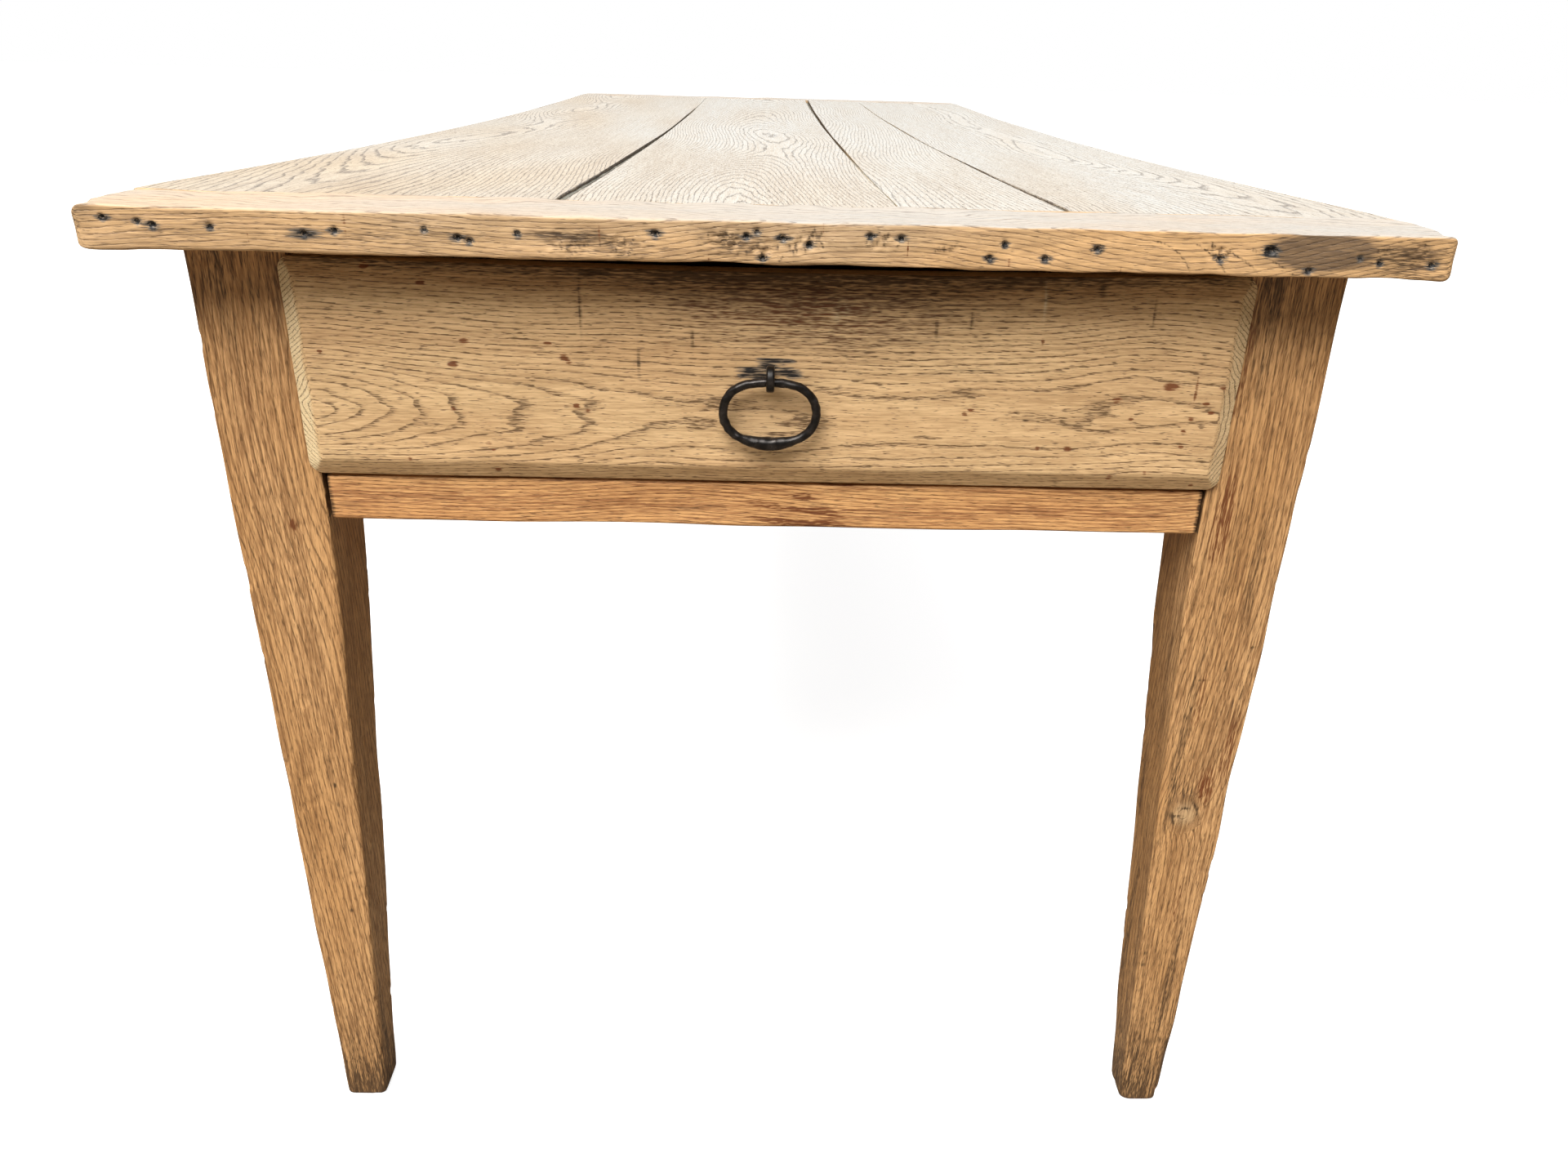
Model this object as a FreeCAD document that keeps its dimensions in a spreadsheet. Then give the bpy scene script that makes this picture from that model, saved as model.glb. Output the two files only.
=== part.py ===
import FreeCAD, Part

# Tavern table with one end drawer: a boarded oak top with breadboard ends on a pegged frame,
# four legs tapered on their inner faces, a dovetailed drawer and a drop-ring pull.
# Millimetres. Origin on the floor under the middle of the top, +Z up, the drawer end faces -Y.

import math
import os
import re

import Sketcher

SIZES = {
    # the whole table
    "table_length": "2050",
    "table_width": "800",
    "table_height": "760",
    # the top and its boards; seams are measured from the table's middle line
    "top_thickness": "25",
    "top_sag": "8",
    "end_overhang": "45",
    "side_overhang": "38",
    "breadboard_width": "80",
    "seam_one_left": "135",
    "seam_two_right": "79",
    "seam_three_right": "189",
    "open_gap": "7",
    "half_open_gap": "4.5",
    "tight_gap": "0.8",
    "tongue_thickness": "9",
    "tongue_length": "28",
    "tongue_room": "2",
    "spline_thickness": "7",
    "spline_width": "30",
    "near_corner_round": "8",
    "far_corner_round": "35",
    "top_arris": "3",
    # legs
    "leg_size": "65",
    "foot_size": "34",
    "foot_bevel": "4",
    "leg_arris": "2",
    # frame and its joints
    "apron_height": "182",
    "rail_thickness": "26",
    "rail_setback": "3",
    "tenon_thickness": "11",
    "tenon_length": "34",
    "tenon_shoulder": "14",
    "fit_gap": "0.2",
    "peg_diameter": "9",
    "peg_length": "38",
    "peg_edge": "52",
    "peg_fit": "0.1",
    "drawer_rail_height": "32",
    "drawer_rail_tenon": "25",
    "drawer_rail_tenon_thickness": "12",
    "drawer_rail_tenon_shoulder": "12",
    "shoulder_gap": "0.8",
    # inside the frame
    "bearer_depth": "36",
    "bearer_height": "32",
    "bearer_gap": "20",
    "stub_length": "12",
    "stub_shoulder": "6",
    "runner_width": "40",
    "runner_height": "26",
    "runner_tenon": "16",
    "guide_width": "15",
    "guide_height": "20",
    "batten_width": "60",
    "batten_height": "30",
    "cleat_width": "28",
    "cleat_height": "28",
    "cleat_end": "35",
    "cleat_gap": "30",
    "screw_inset": "120",
    "screw_shank": "4.6",
    "screw_head": "9",
    "screw_head_height": "2.4",
    "screw_length": "40",
    "screw_point": "8",
    # drawer
    "drawer_clearance": "0.3",
    "side_clearance": "2",
    "front_overlap": "7",
    "front_height": "144",
    "front_lift": "1.5",
    "front_body": "15",
    "lip_edge": "2",
    "lip_corner_round": "9",
    "field_corner_round": "2",
    "bevel_width": "12",
    "bevel_depth": "7",
    "drawer_length": "520",
    "drawer_side_thickness": "12",
    "drawer_side_height": "130",
    "drawer_back_thickness": "12",
    "drawer_back_drop": "10",
    "tail_length": "11",
    "tail_slope": "6",
    "tail_width": "31",
    "tail_pitch": "40",
    "tail_count": "3",
    "back_tail_width": "34",
    "back_tail_pitch": "48",
    "back_tail_count": "2",
    "groove_depth": "5",
    "groove_height": "10",
    "bottom_thickness": "8",
    "bottom_gap": "0.8",
    "bottom_count": "3",
    "nail_shank": "3",
    "nail_head": "7",
    "nail_head_height": "1.5",
    "nail_length": "30",
    "nail_count": "4",
    # iron pull
    "pull_lift": "2.3",
    "eye_inside": "10.8",
    "strap_thickness": "3.2",
    "strap_width": "5.8",
    "eye_standoff": "0.6",
    "split_gap": "0.4",
    "clench_length": "18",
    "clench_point": "1",
    "ring_bar": "5.6",
    "ring_width": "59.4",
    "ring_height": "39.4",
    "ring_bow": "70",
    "ring_swell": "9",
    "swell_shoulder": "8",
    "swell_tip": "4.4",
    "swell_length": "30",
    "swell_drop": "1.4",
    "ring_clearance": "0.3",
}

# Levels and faces that several pieces share, worked out from the sizes
PLACES = {
    "leg_x": "table_width / 2 - side_overhang",
    "leg_y": "table_length / 2 - end_overhang",
    "leg_in_x": "leg_x - leg_size",
    "leg_in_y": "leg_y - leg_size",
    "under_top": "table_height - top_thickness",
    "apron_bottom": "under_top - apron_height",
    "bow_radius": "(leg_in_y ^ 2 + top_sag ^ 2) / (2 * top_sag)",
    "board_half": "table_length / 2 - breadboard_width",
    "tongue_half": "board_half + tongue_length",
    "tongue_low": "table_height - (top_thickness + tongue_thickness) / 2",
    "spline_low": "table_height - (top_thickness + spline_thickness) / 2",
    "rail_out_x": "leg_x - rail_setback",
    "rail_in_x": "rail_out_x - rail_thickness",
    "rail_in_y": "leg_y - rail_setback - rail_thickness",
    "tenon_cheek": "(rail_thickness - tenon_thickness) / 2",
    "tenon_height": "apron_height - 2 * tenon_shoulder",
    "runner_top": "apron_bottom + drawer_rail_height",
    "runner_out": "leg_in_x + guide_width",
    "bearer_front": "drawer_length + bearer_gap - leg_y",
    "runner_length": "bearer_front + leg_in_y",
    "batten_bottom": "under_top - top_sag - batten_height",
    "cleat_low": "batten_width / 2 + cleat_gap",
    "cleat_high": "leg_in_y - cleat_end",
    "drawer_floor": "runner_top + drawer_clearance",
    "drawer_half": "leg_in_x - side_clearance",
    "drawer_inner": "drawer_half - drawer_side_thickness",
    "lip_front": "drawer_clearance + lip_edge",
    "face_out": "lip_front + bevel_depth",
    "front_top": "front_lift + front_height",
    "back_low": "groove_height + bottom_thickness + fit_gap",
    "back_top": "drawer_side_height - drawer_back_drop",
    "bottom_front": "front_body - groove_depth + fit_gap",
    "bottom_pitch": "(drawer_length - bottom_front + bottom_gap) / bottom_count",
    "eye_outside": "eye_inside / 2 + strap_thickness",
    "eye_out": "face_out + eye_standoff + eye_outside",
    "eye_height": "drawer_floor + front_lift + front_height / 2 + pull_lift",
    "shank_end": "eye_out + front_body",
    "ring_drop": "(eye_inside - ring_bar) / 2 - ring_clearance",
    "ring_half": "ring_width / 2",
    "ring_middle": "ring_height / 2",
    "ring_end": "(ring_bow * ring_height - ring_half ^ 2 - ring_middle ^ 2) / (2 * (ring_bow - ring_half))",
    "ring_join_out": "(ring_half - ring_end) * ring_bow / (ring_bow - ring_end)",
    "ring_join_up": "ring_middle - ring_end * (ring_bow - ring_middle) / (ring_bow - ring_end)",
}

doc = FreeCAD.newDocument("tavern_table")
home = {}
SAME_SPOT = 1e-3


def fill_sheet(name, cells, first_mark):
    """Write a sheet of named cells, where a formula cell starts with an equals mark."""
    sheet = doc.addObject("Spreadsheet::Sheet", name)
    for row, (alias, content) in enumerate(cells.items(), start=1):
        sheet.set(f"A{row}", alias)
        sheet.set(f"B{row}", first_mark + formula(content))
        sheet.setAlias(f"B{row}", alias)
    home.update({alias: name for alias in cells})
    doc.recompute()
    return sheet


def formula(text):
    """A formula in plain size names, with each name led by the sheet that holds it."""
    def led(word):
        return f"{home[word[0]]}.{word[0]}" if word[0] in home else word[0]
    return re.sub(r"[a-z][a-z_]*", led, text)


sizes = fill_sheet("Sizes", SIZES, "")
fill_sheet("Places", PLACES, "=")


def number(text):
    """The present value of a formula."""
    return float(sizes.evalExpression(formula(text)))


def count(text):
    return int(round(number(text)))


# Sketched features, each bound to the sheets

def new_body(label, x="0", y="0", z="0"):
    """An empty body whose own origin stands at x, y, z of the table."""
    body = doc.addObject("PartDesign::Body", label)
    body.Label = label
    for axis, text in zip("xyz", (x, y, z)):
        body.setExpression(f"Placement.Base.{axis}", formula(text))
    return body


def rectangle(u_low, u_high, v_low, v_high):
    return [(u_low, v_low), (u_high, v_low), (u_high, v_high), (u_low, v_high)]


def rounded(u_low, u_high, v_low, v_high, radii):
    """A rectangle whose four corners, from low-low round to low-high, have their own radius or none."""
    spots = [(u_low, v_low, 1, 1), (u_high, v_low, -1, 1), (u_high, v_high, -1, -1), (u_low, v_high, 1, -1)]
    loop = []
    for index, ((u, v, u_in, v_in), radius) in enumerate(zip(spots, radii)):
        if radius is None:
            loop.append((u, v))
            continue
        on_v_side = (u, f"{v} + {v_in} * ({radius})")
        on_u_side = (f"{u} + {u_in} * ({radius})", v)
        first, last = (on_v_side, on_u_side) if index % 2 == 0 else (on_u_side, on_v_side)
        loop += [first + (radius, 1), last]
    return loop


def circle(u, v, diameter):
    return ("circle", u, v, diameter)


def draw_circle(sketch, u, v, diameter):
    centre = FreeCAD.Vector(number(u), number(v), 0)
    disc = sketch.addGeometry(Part.Circle(centre, FreeCAD.Vector(0, 0, 1), number(diameter) / 2))
    hold(sketch, ("DistanceX", -1, 1, disc, 3), u)
    hold(sketch, ("DistanceY", -1, 1, disc, 3), v)
    hold(sketch, ("Diameter", disc), diameter)


def hold(sketch, constraint, text):
    """Add a dimension to a sketch and bind it to a formula."""
    index = sketch.addConstraint(Sketcher.Constraint(*constraint, number(text)))
    sketch.setExpression(f"Constraints[{index}]", formula(text))


def draw_loop(sketch, corners):
    """A closed loop of lines and arcs with every corner held at its two formulas.

    A corner is (u, v). A corner (u, v, radius, turn) starts an arc to the next one,
    which turns left where turn is 1 and right where it is -1.
    """
    points = [FreeCAD.Vector(number(corner[0]), number(corner[1]), 0) for corner in corners]
    edges = []
    for index, corner in enumerate(corners):
        start = points[index]
        stop = points[(index + 1) % len(points)]
        if len(corner) == 2:
            edges.append((sketch.addGeometry(Part.LineSegment(start, stop)), 1, 2))
            continue
        radius, turn = number(corner[2]), corner[3]
        chord = stop - start
        outward = FreeCAD.Vector(chord.y, -chord.x, 0).normalize()
        rise = radius - math.sqrt(radius ** 2 - (chord.Length / 2) ** 2)
        middle = (start + stop) * 0.5 + outward * (rise * turn)
        arc = sketch.addGeometry(Part.Arc(start, middle, stop))
        edges.append((arc, 1, 2) if turn > 0 else (arc, 2, 1))
        hold(sketch, ("Radius", arc), corner[2])
    for index, (edge, first, last) in enumerate(edges):
        following, its_first, _ = edges[(index + 1) % len(edges)]
        sketch.addConstraint(Sketcher.Constraint("Coincident", edge, last, following, its_first))
        hold(sketch, ("DistanceX", -1, 1, edge, first), corners[index][0])
        hold(sketch, ("DistanceY", -1, 1, edge, first), corners[index][1])


def sketch_on(body, name, plane, start, loops):
    """Loops sketched on one of the body's own planes, moved along the plane's axis to start."""
    sketch = body.newObject("Sketcher::SketchObject", name)
    origin_plane = next(item for item in body.Origin.OriginFeatures if item.Role == f"{plane}_Plane")
    sketch.AttachmentSupport = [(origin_plane, "")]
    sketch.MapMode = "FlatFace"
    along_normal = f"-({start})" if plane == "XZ" else start
    sketch.setExpression("AttachmentOffset.Base.z", formula(along_normal))
    for loop in loops:
        if loop[0] == "circle":
            draw_circle(sketch, *loop[1:])
        else:
            draw_loop(sketch, loop)
    return sketch


def grow(body, name, plane, start, length, *loops):
    """Pad loops from start, in the positive direction of the plane's axis."""
    pad = body.newObject("PartDesign::Pad", name)
    pad.Profile = sketch_on(body, f"{name}_outline", plane, start, loops)
    pad.setExpression("Length", formula(length))
    pad.Reversed = plane == "XZ"
    return pad


def carve(body, name, plane, start, length, *loops):
    """Pocket loops from start, in the positive direction of the plane's axis."""
    pocket = body.newObject("PartDesign::Pocket", name)
    pocket.Profile = sketch_on(body, f"{name}_outline", plane, start, loops)
    pocket.setExpression("Length", formula(length))
    pocket.Reversed = plane != "XZ"
    return pocket


def loft(body, name, plane, *sections, ruled=True):
    """Loft through (start, loop) sections, with straight sides or, where not ruled, as one smooth run."""
    shape = body.newObject("PartDesign::AdditiveLoft", name)
    outlines = [sketch_on(body, f"{name}_section_{index}", plane, start, [loop])
                for index, (start, loop) in enumerate(sections, start=1)]
    shape.Profile = outlines[0]
    shape.Sections = outlines[1:]
    shape.Ruled = ruled
    return shape


def revolve(body, name, plane, loop):
    """A loop turned once round its sketch's own vertical axis."""
    turned = body.newObject("PartDesign::Revolution", name)
    turned.Profile = sketch_on(body, f"{name}_profile", plane, "0", [loop])
    turned.ReferenceAxis = (turned.Profile[0], ["V_Axis"])
    turned.Angle = 360
    return turned


def round_edges(body, name, radius, chosen):
    """Fillet the edges of the body that a test chooses."""
    doc.recompute()
    base = body.Tip
    edges = [f"Edge{index}" for index, edge in enumerate(base.Shape.Edges, start=1) if chosen(edge)]
    fillet = body.newObject("PartDesign::Fillet", name)
    fillet.Base = (base, edges)
    fillet.setExpression("Radius", formula(radius))
    return fillet


def mirrored(source, label):
    """The right-hand twin of a left-hand piece."""
    twin = doc.addObject("Part::Mirroring", label)
    twin.Label = label
    twin.Source = source
    twin.Base = FreeCAD.Vector(0, 0, 0)
    twin.Normal = FreeCAD.Vector(1, 0, 0)
    return twin


def group(label, pattern, spots):
    """Copies of one small piece, standing at several spots."""
    links = []
    for index, spot in enumerate(spots, start=1):
        link = doc.addObject("App::Link", f"{label}_{index}")
        link.LinkedObject = pattern
        for axis, text in zip("xyz", spot):
            link.setExpression(f"Placement.Base.{axis}", formula(text))
        links.append(link)
    together = doc.addObject("Part::Compound", label)
    together.Label = label
    together.Links = links
    return together


# The sag of the top, which the rails, cleats and splines follow

def bowed_at(level, y):
    """Height of a bowed edge at y, where level is its height at the legs."""
    return f"{level} - top_sag + bow_radius - sqrt(bow_radius ^ 2 - ({y}) ^ 2)"


def bowed_strip(y_low, y_high, low, high):
    """Outline on the YZ plane whose lower and upper edges sag between y_low and y_high."""
    return [
        (y_low, bowed_at(low, y_low), "bow_radius", 1),
        (y_high, bowed_at(low, y_high)),
        (y_high, bowed_at(high, y_high), "bow_radius", -1),
        (y_low, bowed_at(high, y_low)),
    ]


def bowed_plank(half, low, high):
    """Outline on the YZ plane that sags between the legs and runs level out to half."""
    return [
        (f"-{half}", low),
        ("-leg_in_y", low, "bow_radius", 1),
        ("leg_in_y", low),
        (half, low),
        (half, high),
        ("leg_in_y", high, "bow_radius", -1),
        ("-leg_in_y", high),
        (f"-{half}", high),
    ]


def tongued_plank():
    """A top board's outline on the YZ plane: the sagging plank with a tongue at each end."""
    tongue_high = "tongue_low + tongue_thickness"
    plank = bowed_plank("board_half", "under_top", "table_height")
    right = [("board_half", "tongue_low"), ("tongue_half", "tongue_low"),
             ("tongue_half", tongue_high), ("board_half", tongue_high)]
    left = [("-board_half", tongue_high), ("-tongue_half", tongue_high),
            ("-tongue_half", "tongue_low"), ("-board_half", "tongue_low")]
    return plank[:4] + right + plank[4:] + left


# Legs

PEG_HEIGHTS = ("apron_bottom + peg_edge", "under_top - peg_edge")


def leg(label, end):
    """A left leg, its own origin at the outer corner on the floor; end is 1 at the drawer, -1 at the back."""
    body = new_body(label, "-leg_x", f"{-end} * leg_y")

    def inwards(low, high):
        return (low, high) if end > 0 else (f"-({high})", f"-({low})")

    def section(low, high):
        return rounded(low, high, *inwards(low, high), ["leg_arris"] * 4)

    grow(body, "block", "XY", "apron_bottom", "apron_height", section("0", "leg_size"))
    foot = ("foot_bevel", section("0", "foot_size"))
    loft(body, "taper", "XY", ("apron_bottom", section("0", "leg_size")), foot)
    loft(body, "worn_foot", "XY", foot, ("0", section("foot_bevel", "foot_size - foot_bevel")))

    mortise_low = "apron_bottom + tenon_shoulder - fit_gap"
    mortise_height = "tenon_height + 2 * fit_gap"
    cheek = "rail_setback + tenon_cheek"
    cheeks = (f"{cheek} - fit_gap", f"{cheek} + tenon_thickness + fit_gap")
    depth = ("leg_size - tenon_length - fit_gap", "leg_size")
    side_mortise = rectangle(*cheeks, *inwards(*depth))
    carve(body, "side_mortise", "XY", mortise_low, mortise_height, side_mortise)
    hole = "peg_diameter + 2 * peg_fit"
    peg_y = f"{end} * (leg_size - tenon_length / 2)"
    side_holes = [circle(peg_y, z, hole) for z in PEG_HEIGHTS]
    carve(body, "side_peg_holes", "YZ", "0", "peg_length", *side_holes)

    if end > 0:
        stub = rectangle("leg_size - drawer_rail_tenon - fit_gap", "leg_size",
                         "drawer_rail_tenon_shoulder - fit_gap",
                         "leg_size - drawer_rail_tenon_shoulder + fit_gap")
        low = "apron_bottom + (drawer_rail_height - drawer_rail_tenon_thickness) / 2 - fit_gap"
        carve(body, "drawer_rail_mortise", "XY", low, "drawer_rail_tenon_thickness + 2 * fit_gap", stub)
    else:
        back_mortise = rectangle(*depth, *inwards(*cheeks))
        carve(body, "back_mortise", "XY", mortise_low, mortise_height, back_mortise)
        back_holes = [circle("leg_size - tenon_length / 2", z, hole) for z in PEG_HEIGHTS]
        carve(body, "back_peg_holes", "XZ", "-peg_length", "peg_length", *back_holes)
    return body


# Rails

def side_rail(label):
    """The left apron, sagging with the top, with a tenon and peg holes at each end."""
    body = new_body(label, "-rail_out_x")
    grow(body, "board", "YZ", "0", "rail_thickness",
         bowed_strip("-leg_in_y", "leg_in_y", "apron_bottom", "under_top"))
    ends = (("leg_in_y", "leg_in_y + tenon_length"), ("-leg_in_y - tenon_length", "-leg_in_y"))
    tenons = [rectangle("tenon_cheek", "tenon_cheek + tenon_thickness", *span) for span in ends]
    grow(body, "tenons", "XY", "apron_bottom + tenon_shoulder", "tenon_height", *tenons)
    holes = [circle(f"{end} * (leg_in_y + tenon_length / 2)", z, "peg_diameter + 2 * peg_fit")
             for end in (1, -1) for z in PEG_HEIGHTS]
    carve(body, "peg_holes", "YZ", "tenon_cheek", "tenon_thickness", *holes)
    inside = ("rail_thickness - stub_length - fit_gap", "rail_thickness")
    bearer = rectangle(*inside, "bearer_front + stub_shoulder - fit_gap",
                       "bearer_front + bearer_depth - stub_shoulder + fit_gap")
    carve(body, "bearer_mortise", "XY", "runner_top - bearer_height + stub_shoulder - fit_gap",
          "bearer_height - 2 * stub_shoulder + 2 * fit_gap", bearer)
    batten = rectangle(*inside, "-batten_width / 2 + stub_shoulder - fit_gap",
                       "batten_width / 2 - stub_shoulder + fit_gap")
    carve(body, "batten_mortise", "XY", "batten_bottom + stub_shoulder - fit_gap",
          "batten_height - 2 * stub_shoulder + 2 * fit_gap", batten)
    return body


def back_rail(label):
    """The apron between the back legs."""
    body = new_body(label, "0", "rail_in_y")
    grow(body, "board", "XZ", "0", "rail_thickness",
         rectangle("-leg_in_x", "leg_in_x", "apron_bottom", "under_top"))
    ends = (("leg_in_x", "leg_in_x + tenon_length"), ("-leg_in_x - tenon_length", "-leg_in_x"))
    tenons = [rectangle(*span, "tenon_cheek", "tenon_cheek + tenon_thickness") for span in ends]
    grow(body, "tenons", "XY", "apron_bottom + tenon_shoulder", "tenon_height", *tenons)
    holes = [circle(f"{side} * (leg_in_x + tenon_length / 2)", z, "peg_diameter + 2 * peg_fit")
             for side in (1, -1) for z in PEG_HEIGHTS]
    carve(body, "peg_holes", "XZ", "tenon_cheek", "tenon_thickness", *holes)
    return body


def drawer_rail(label):
    """The thin rail under the drawer, its shoulders shrunk a little away from the legs."""
    body = new_body(label, "0", "-leg_y", "apron_bottom")
    grow(body, "board", "XY", "0", "drawer_rail_height",
         rectangle("-leg_in_x + shoulder_gap", "leg_in_x - shoulder_gap", "0", "leg_size"))
    across = ("drawer_rail_tenon_shoulder", "leg_size - drawer_rail_tenon_shoulder")
    tenons = [rectangle("leg_in_x - shoulder_gap", "leg_in_x + drawer_rail_tenon", *across),
              rectangle("-leg_in_x - drawer_rail_tenon", "-leg_in_x + shoulder_gap", *across)]
    grow(body, "tenons", "XY", "(drawer_rail_height - drawer_rail_tenon_thickness) / 2",
         "drawer_rail_tenon_thickness", *tenons)
    carve(body, "runner_mortises", "XY", "drawer_rail_height - runner_height + stub_shoulder - fit_gap",
          "runner_height - 2 * stub_shoulder + 2 * fit_gap",
          *runner_mortises("leg_size - stub_length - fit_gap", "leg_size"))
    return body


def runner_mortises(y_low, y_high):
    """Plan of the two pockets that take the runners' stub tenons."""
    inner = "runner_out - runner_width + stub_shoulder - fit_gap"
    outer = "runner_out - runner_width + stub_shoulder + runner_tenon + fit_gap"
    return [rectangle(inner, outer, y_low, y_high),
            rectangle(f"-({outer})", f"-({inner})", y_low, y_high)]


def cross_bearer(label):
    """The rail behind the drawer, which carries the back ends of the runners."""
    body = new_body(label, "0", "bearer_front", "runner_top - bearer_height")
    grow(body, "board", "XY", "0", "bearer_height", rectangle("-rail_in_x", "rail_in_x", "0", "bearer_depth"))
    stub_tenons(body, "rail_in_x", "stub_shoulder", "bearer_depth - stub_shoulder", "bearer_height")
    carve(body, "runner_mortises", "XY", "bearer_height - runner_height + stub_shoulder - fit_gap",
          "runner_height - 2 * stub_shoulder + 2 * fit_gap",
          *runner_mortises("0", "stub_length + fit_gap"))
    return body


def stub_tenons(body, shoulder, y_low, y_high, height):
    """Short tenons on both ends of a piece that runs from side rail to side rail."""
    ends = ((shoulder, f"{shoulder} + stub_length"), (f"-{shoulder} - stub_length", f"-{shoulder}"))
    tenons = [rectangle(*span, y_low, y_high) for span in ends]
    grow(body, "tenons", "XY", "stub_shoulder", f"{height} - 2 * stub_shoulder", *tenons)


def drawer_runner(label):
    """The left strip that the drawer slides on."""
    body = new_body(label, "-runner_out", "-leg_in_y", "runner_top - runner_height")
    grow(body, "strip", "XY", "0", "runner_height", rectangle("0", "runner_width", "0", "runner_length"))
    across = ("runner_width - stub_shoulder - runner_tenon", "runner_width - stub_shoulder")
    tenons = [rectangle(*across, "-stub_length", "0"),
              rectangle(*across, "runner_length", "runner_length + stub_length")]
    grow(body, "tenons", "XY", "stub_shoulder", "runner_height - 2 * stub_shoulder", *tenons)
    return body


def drawer_guide(label):
    """The left strip on the runner that keeps the drawer straight."""
    box = doc.addObject("Part::Box", label)
    box.Label = label
    for name, text in (("Length", "guide_width"), ("Width", "runner_length"), ("Height", "guide_height"),
                       ("Placement.Base.x", "-runner_out"), ("Placement.Base.y", "-leg_in_y"),
                       ("Placement.Base.z", "runner_top")):
        box.setExpression(name, formula(text))
    return box


# Pegs, screws and nails

def side_pegs(label):
    body = new_body(label, "-leg_x")
    pegs = [circle(f"{end} * (leg_in_y + tenon_length / 2)", z, "peg_diameter")
            for end in (1, -1) for z in PEG_HEIGHTS]
    grow(body, "pegs", "YZ", "0", "peg_length", *pegs)
    return body


def back_pegs(label):
    body = new_body(label, "0", "leg_y")
    pegs = [circle(f"{side} * (leg_in_x + tenon_length / 2)", z, "peg_diameter")
            for side in (1, -1) for z in PEG_HEIGHTS]
    grow(body, "pegs", "XZ", "-peg_length", "peg_length", *pegs)
    return body


def screw(label):
    """One wood screw, head down, its own origin at the middle of the head's outer face."""
    body = new_body(label)
    revolve(body, "screw", "XZ", [
        ("0", "0"), ("screw_head / 2", "0"), ("screw_head / 2", "screw_head_height"),
        ("screw_shank / 2", "screw_head_height"), ("screw_shank / 2", "screw_length - screw_point"),
        ("0", "screw_length")])
    return body


def nail(label):
    """One clout nail, head down, its own origin where the head meets the wood."""
    body = new_body(label)
    revolve(body, "nail", "XZ", [
        ("0", "-nail_head_height"), ("nail_head / 2", "-nail_head_height / 2"), ("nail_head / 2", "0"),
        ("nail_shank / 2", "0"), ("nail_shank / 2", "nail_length - nail_shank"), ("0", "nail_length")])
    return body


CLEAT_X = "rail_in_x - cleat_width / 2"
CLEAT_YS = ("cleat_low + screw_inset", "cleat_high - screw_inset")
SEAMS = ("-seam_one_left", "seam_two_right", "seam_three_right")
BOARD_EDGES = ("-table_width / 2", *SEAMS, "table_width / 2")
BATTEN_XS = [f"(({left}) + ({right})) / 2" for left, right in zip(BOARD_EDGES, BOARD_EDGES[1:])]


def cleat_screw_level(y):
    return bowed_at("under_top - cleat_height", y)


def screw_spots():
    """Where each screw's head lies: two in each cleat, one under each board in the batten."""
    cleats = [(f"{side} * ({CLEAT_X})", f"{end} * ({y})", cleat_screw_level(y))
              for side in (-1, 1) for end in (-1, 1) for y in CLEAT_YS]
    batten = [(x, "0", "batten_bottom") for x in BATTEN_XS]
    return cleats, batten


def screw_holes(body, spots, x_origin, z_origin):
    """Clearance holes for shanks and heads, at spots given in the table's own frame."""
    for index, (x, y, z) in enumerate(spots):
        here = (f"{x} - ({x_origin})", y)
        low = f"{z} - ({z_origin})"
        carve(body, f"shank_hole_{index}", "XY", low, "screw_length + fit_gap",
              circle(*here, "screw_shank + 2 * fit_gap"))
        carve(body, f"head_hole_{index}", "XY", f"{low} - screw_head_height",
              "2 * screw_head_height", circle(*here, "screw_head + 2 * fit_gap"))


# Strips under the top

def cleat(label, end):
    """A left cleat between batten and leg; end is -1 on the drawer half, 1 on the back half."""
    body = new_body(label, "-rail_in_x")
    span = ("-cleat_high", "-cleat_low") if end < 0 else ("cleat_low", "cleat_high")
    grow(body, "strip", "YZ", "0", "cleat_width",
         bowed_strip(*span, "under_top - cleat_height", "under_top"))
    spots = [(f"-({CLEAT_X})", f"{end} * ({y})", cleat_screw_level(y)) for y in CLEAT_YS]
    screw_holes(body, spots, "-rail_in_x", "0")
    return body


def top_batten(label):
    """The cross batten that holds the boards together at the middle of the table."""
    body = new_body(label, "0", "0", "batten_bottom")
    grow(body, "strip", "XY", "0", "batten_height",
         rectangle("-rail_in_x", "rail_in_x", "-batten_width / 2", "batten_width / 2"))
    stub_tenons(body, "rail_in_x", "-batten_width / 2 + stub_shoulder", "batten_width / 2 - stub_shoulder",
                "batten_height")
    screw_holes(body, screw_spots()[1], "0", "batten_bottom")
    return body


# The top

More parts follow.
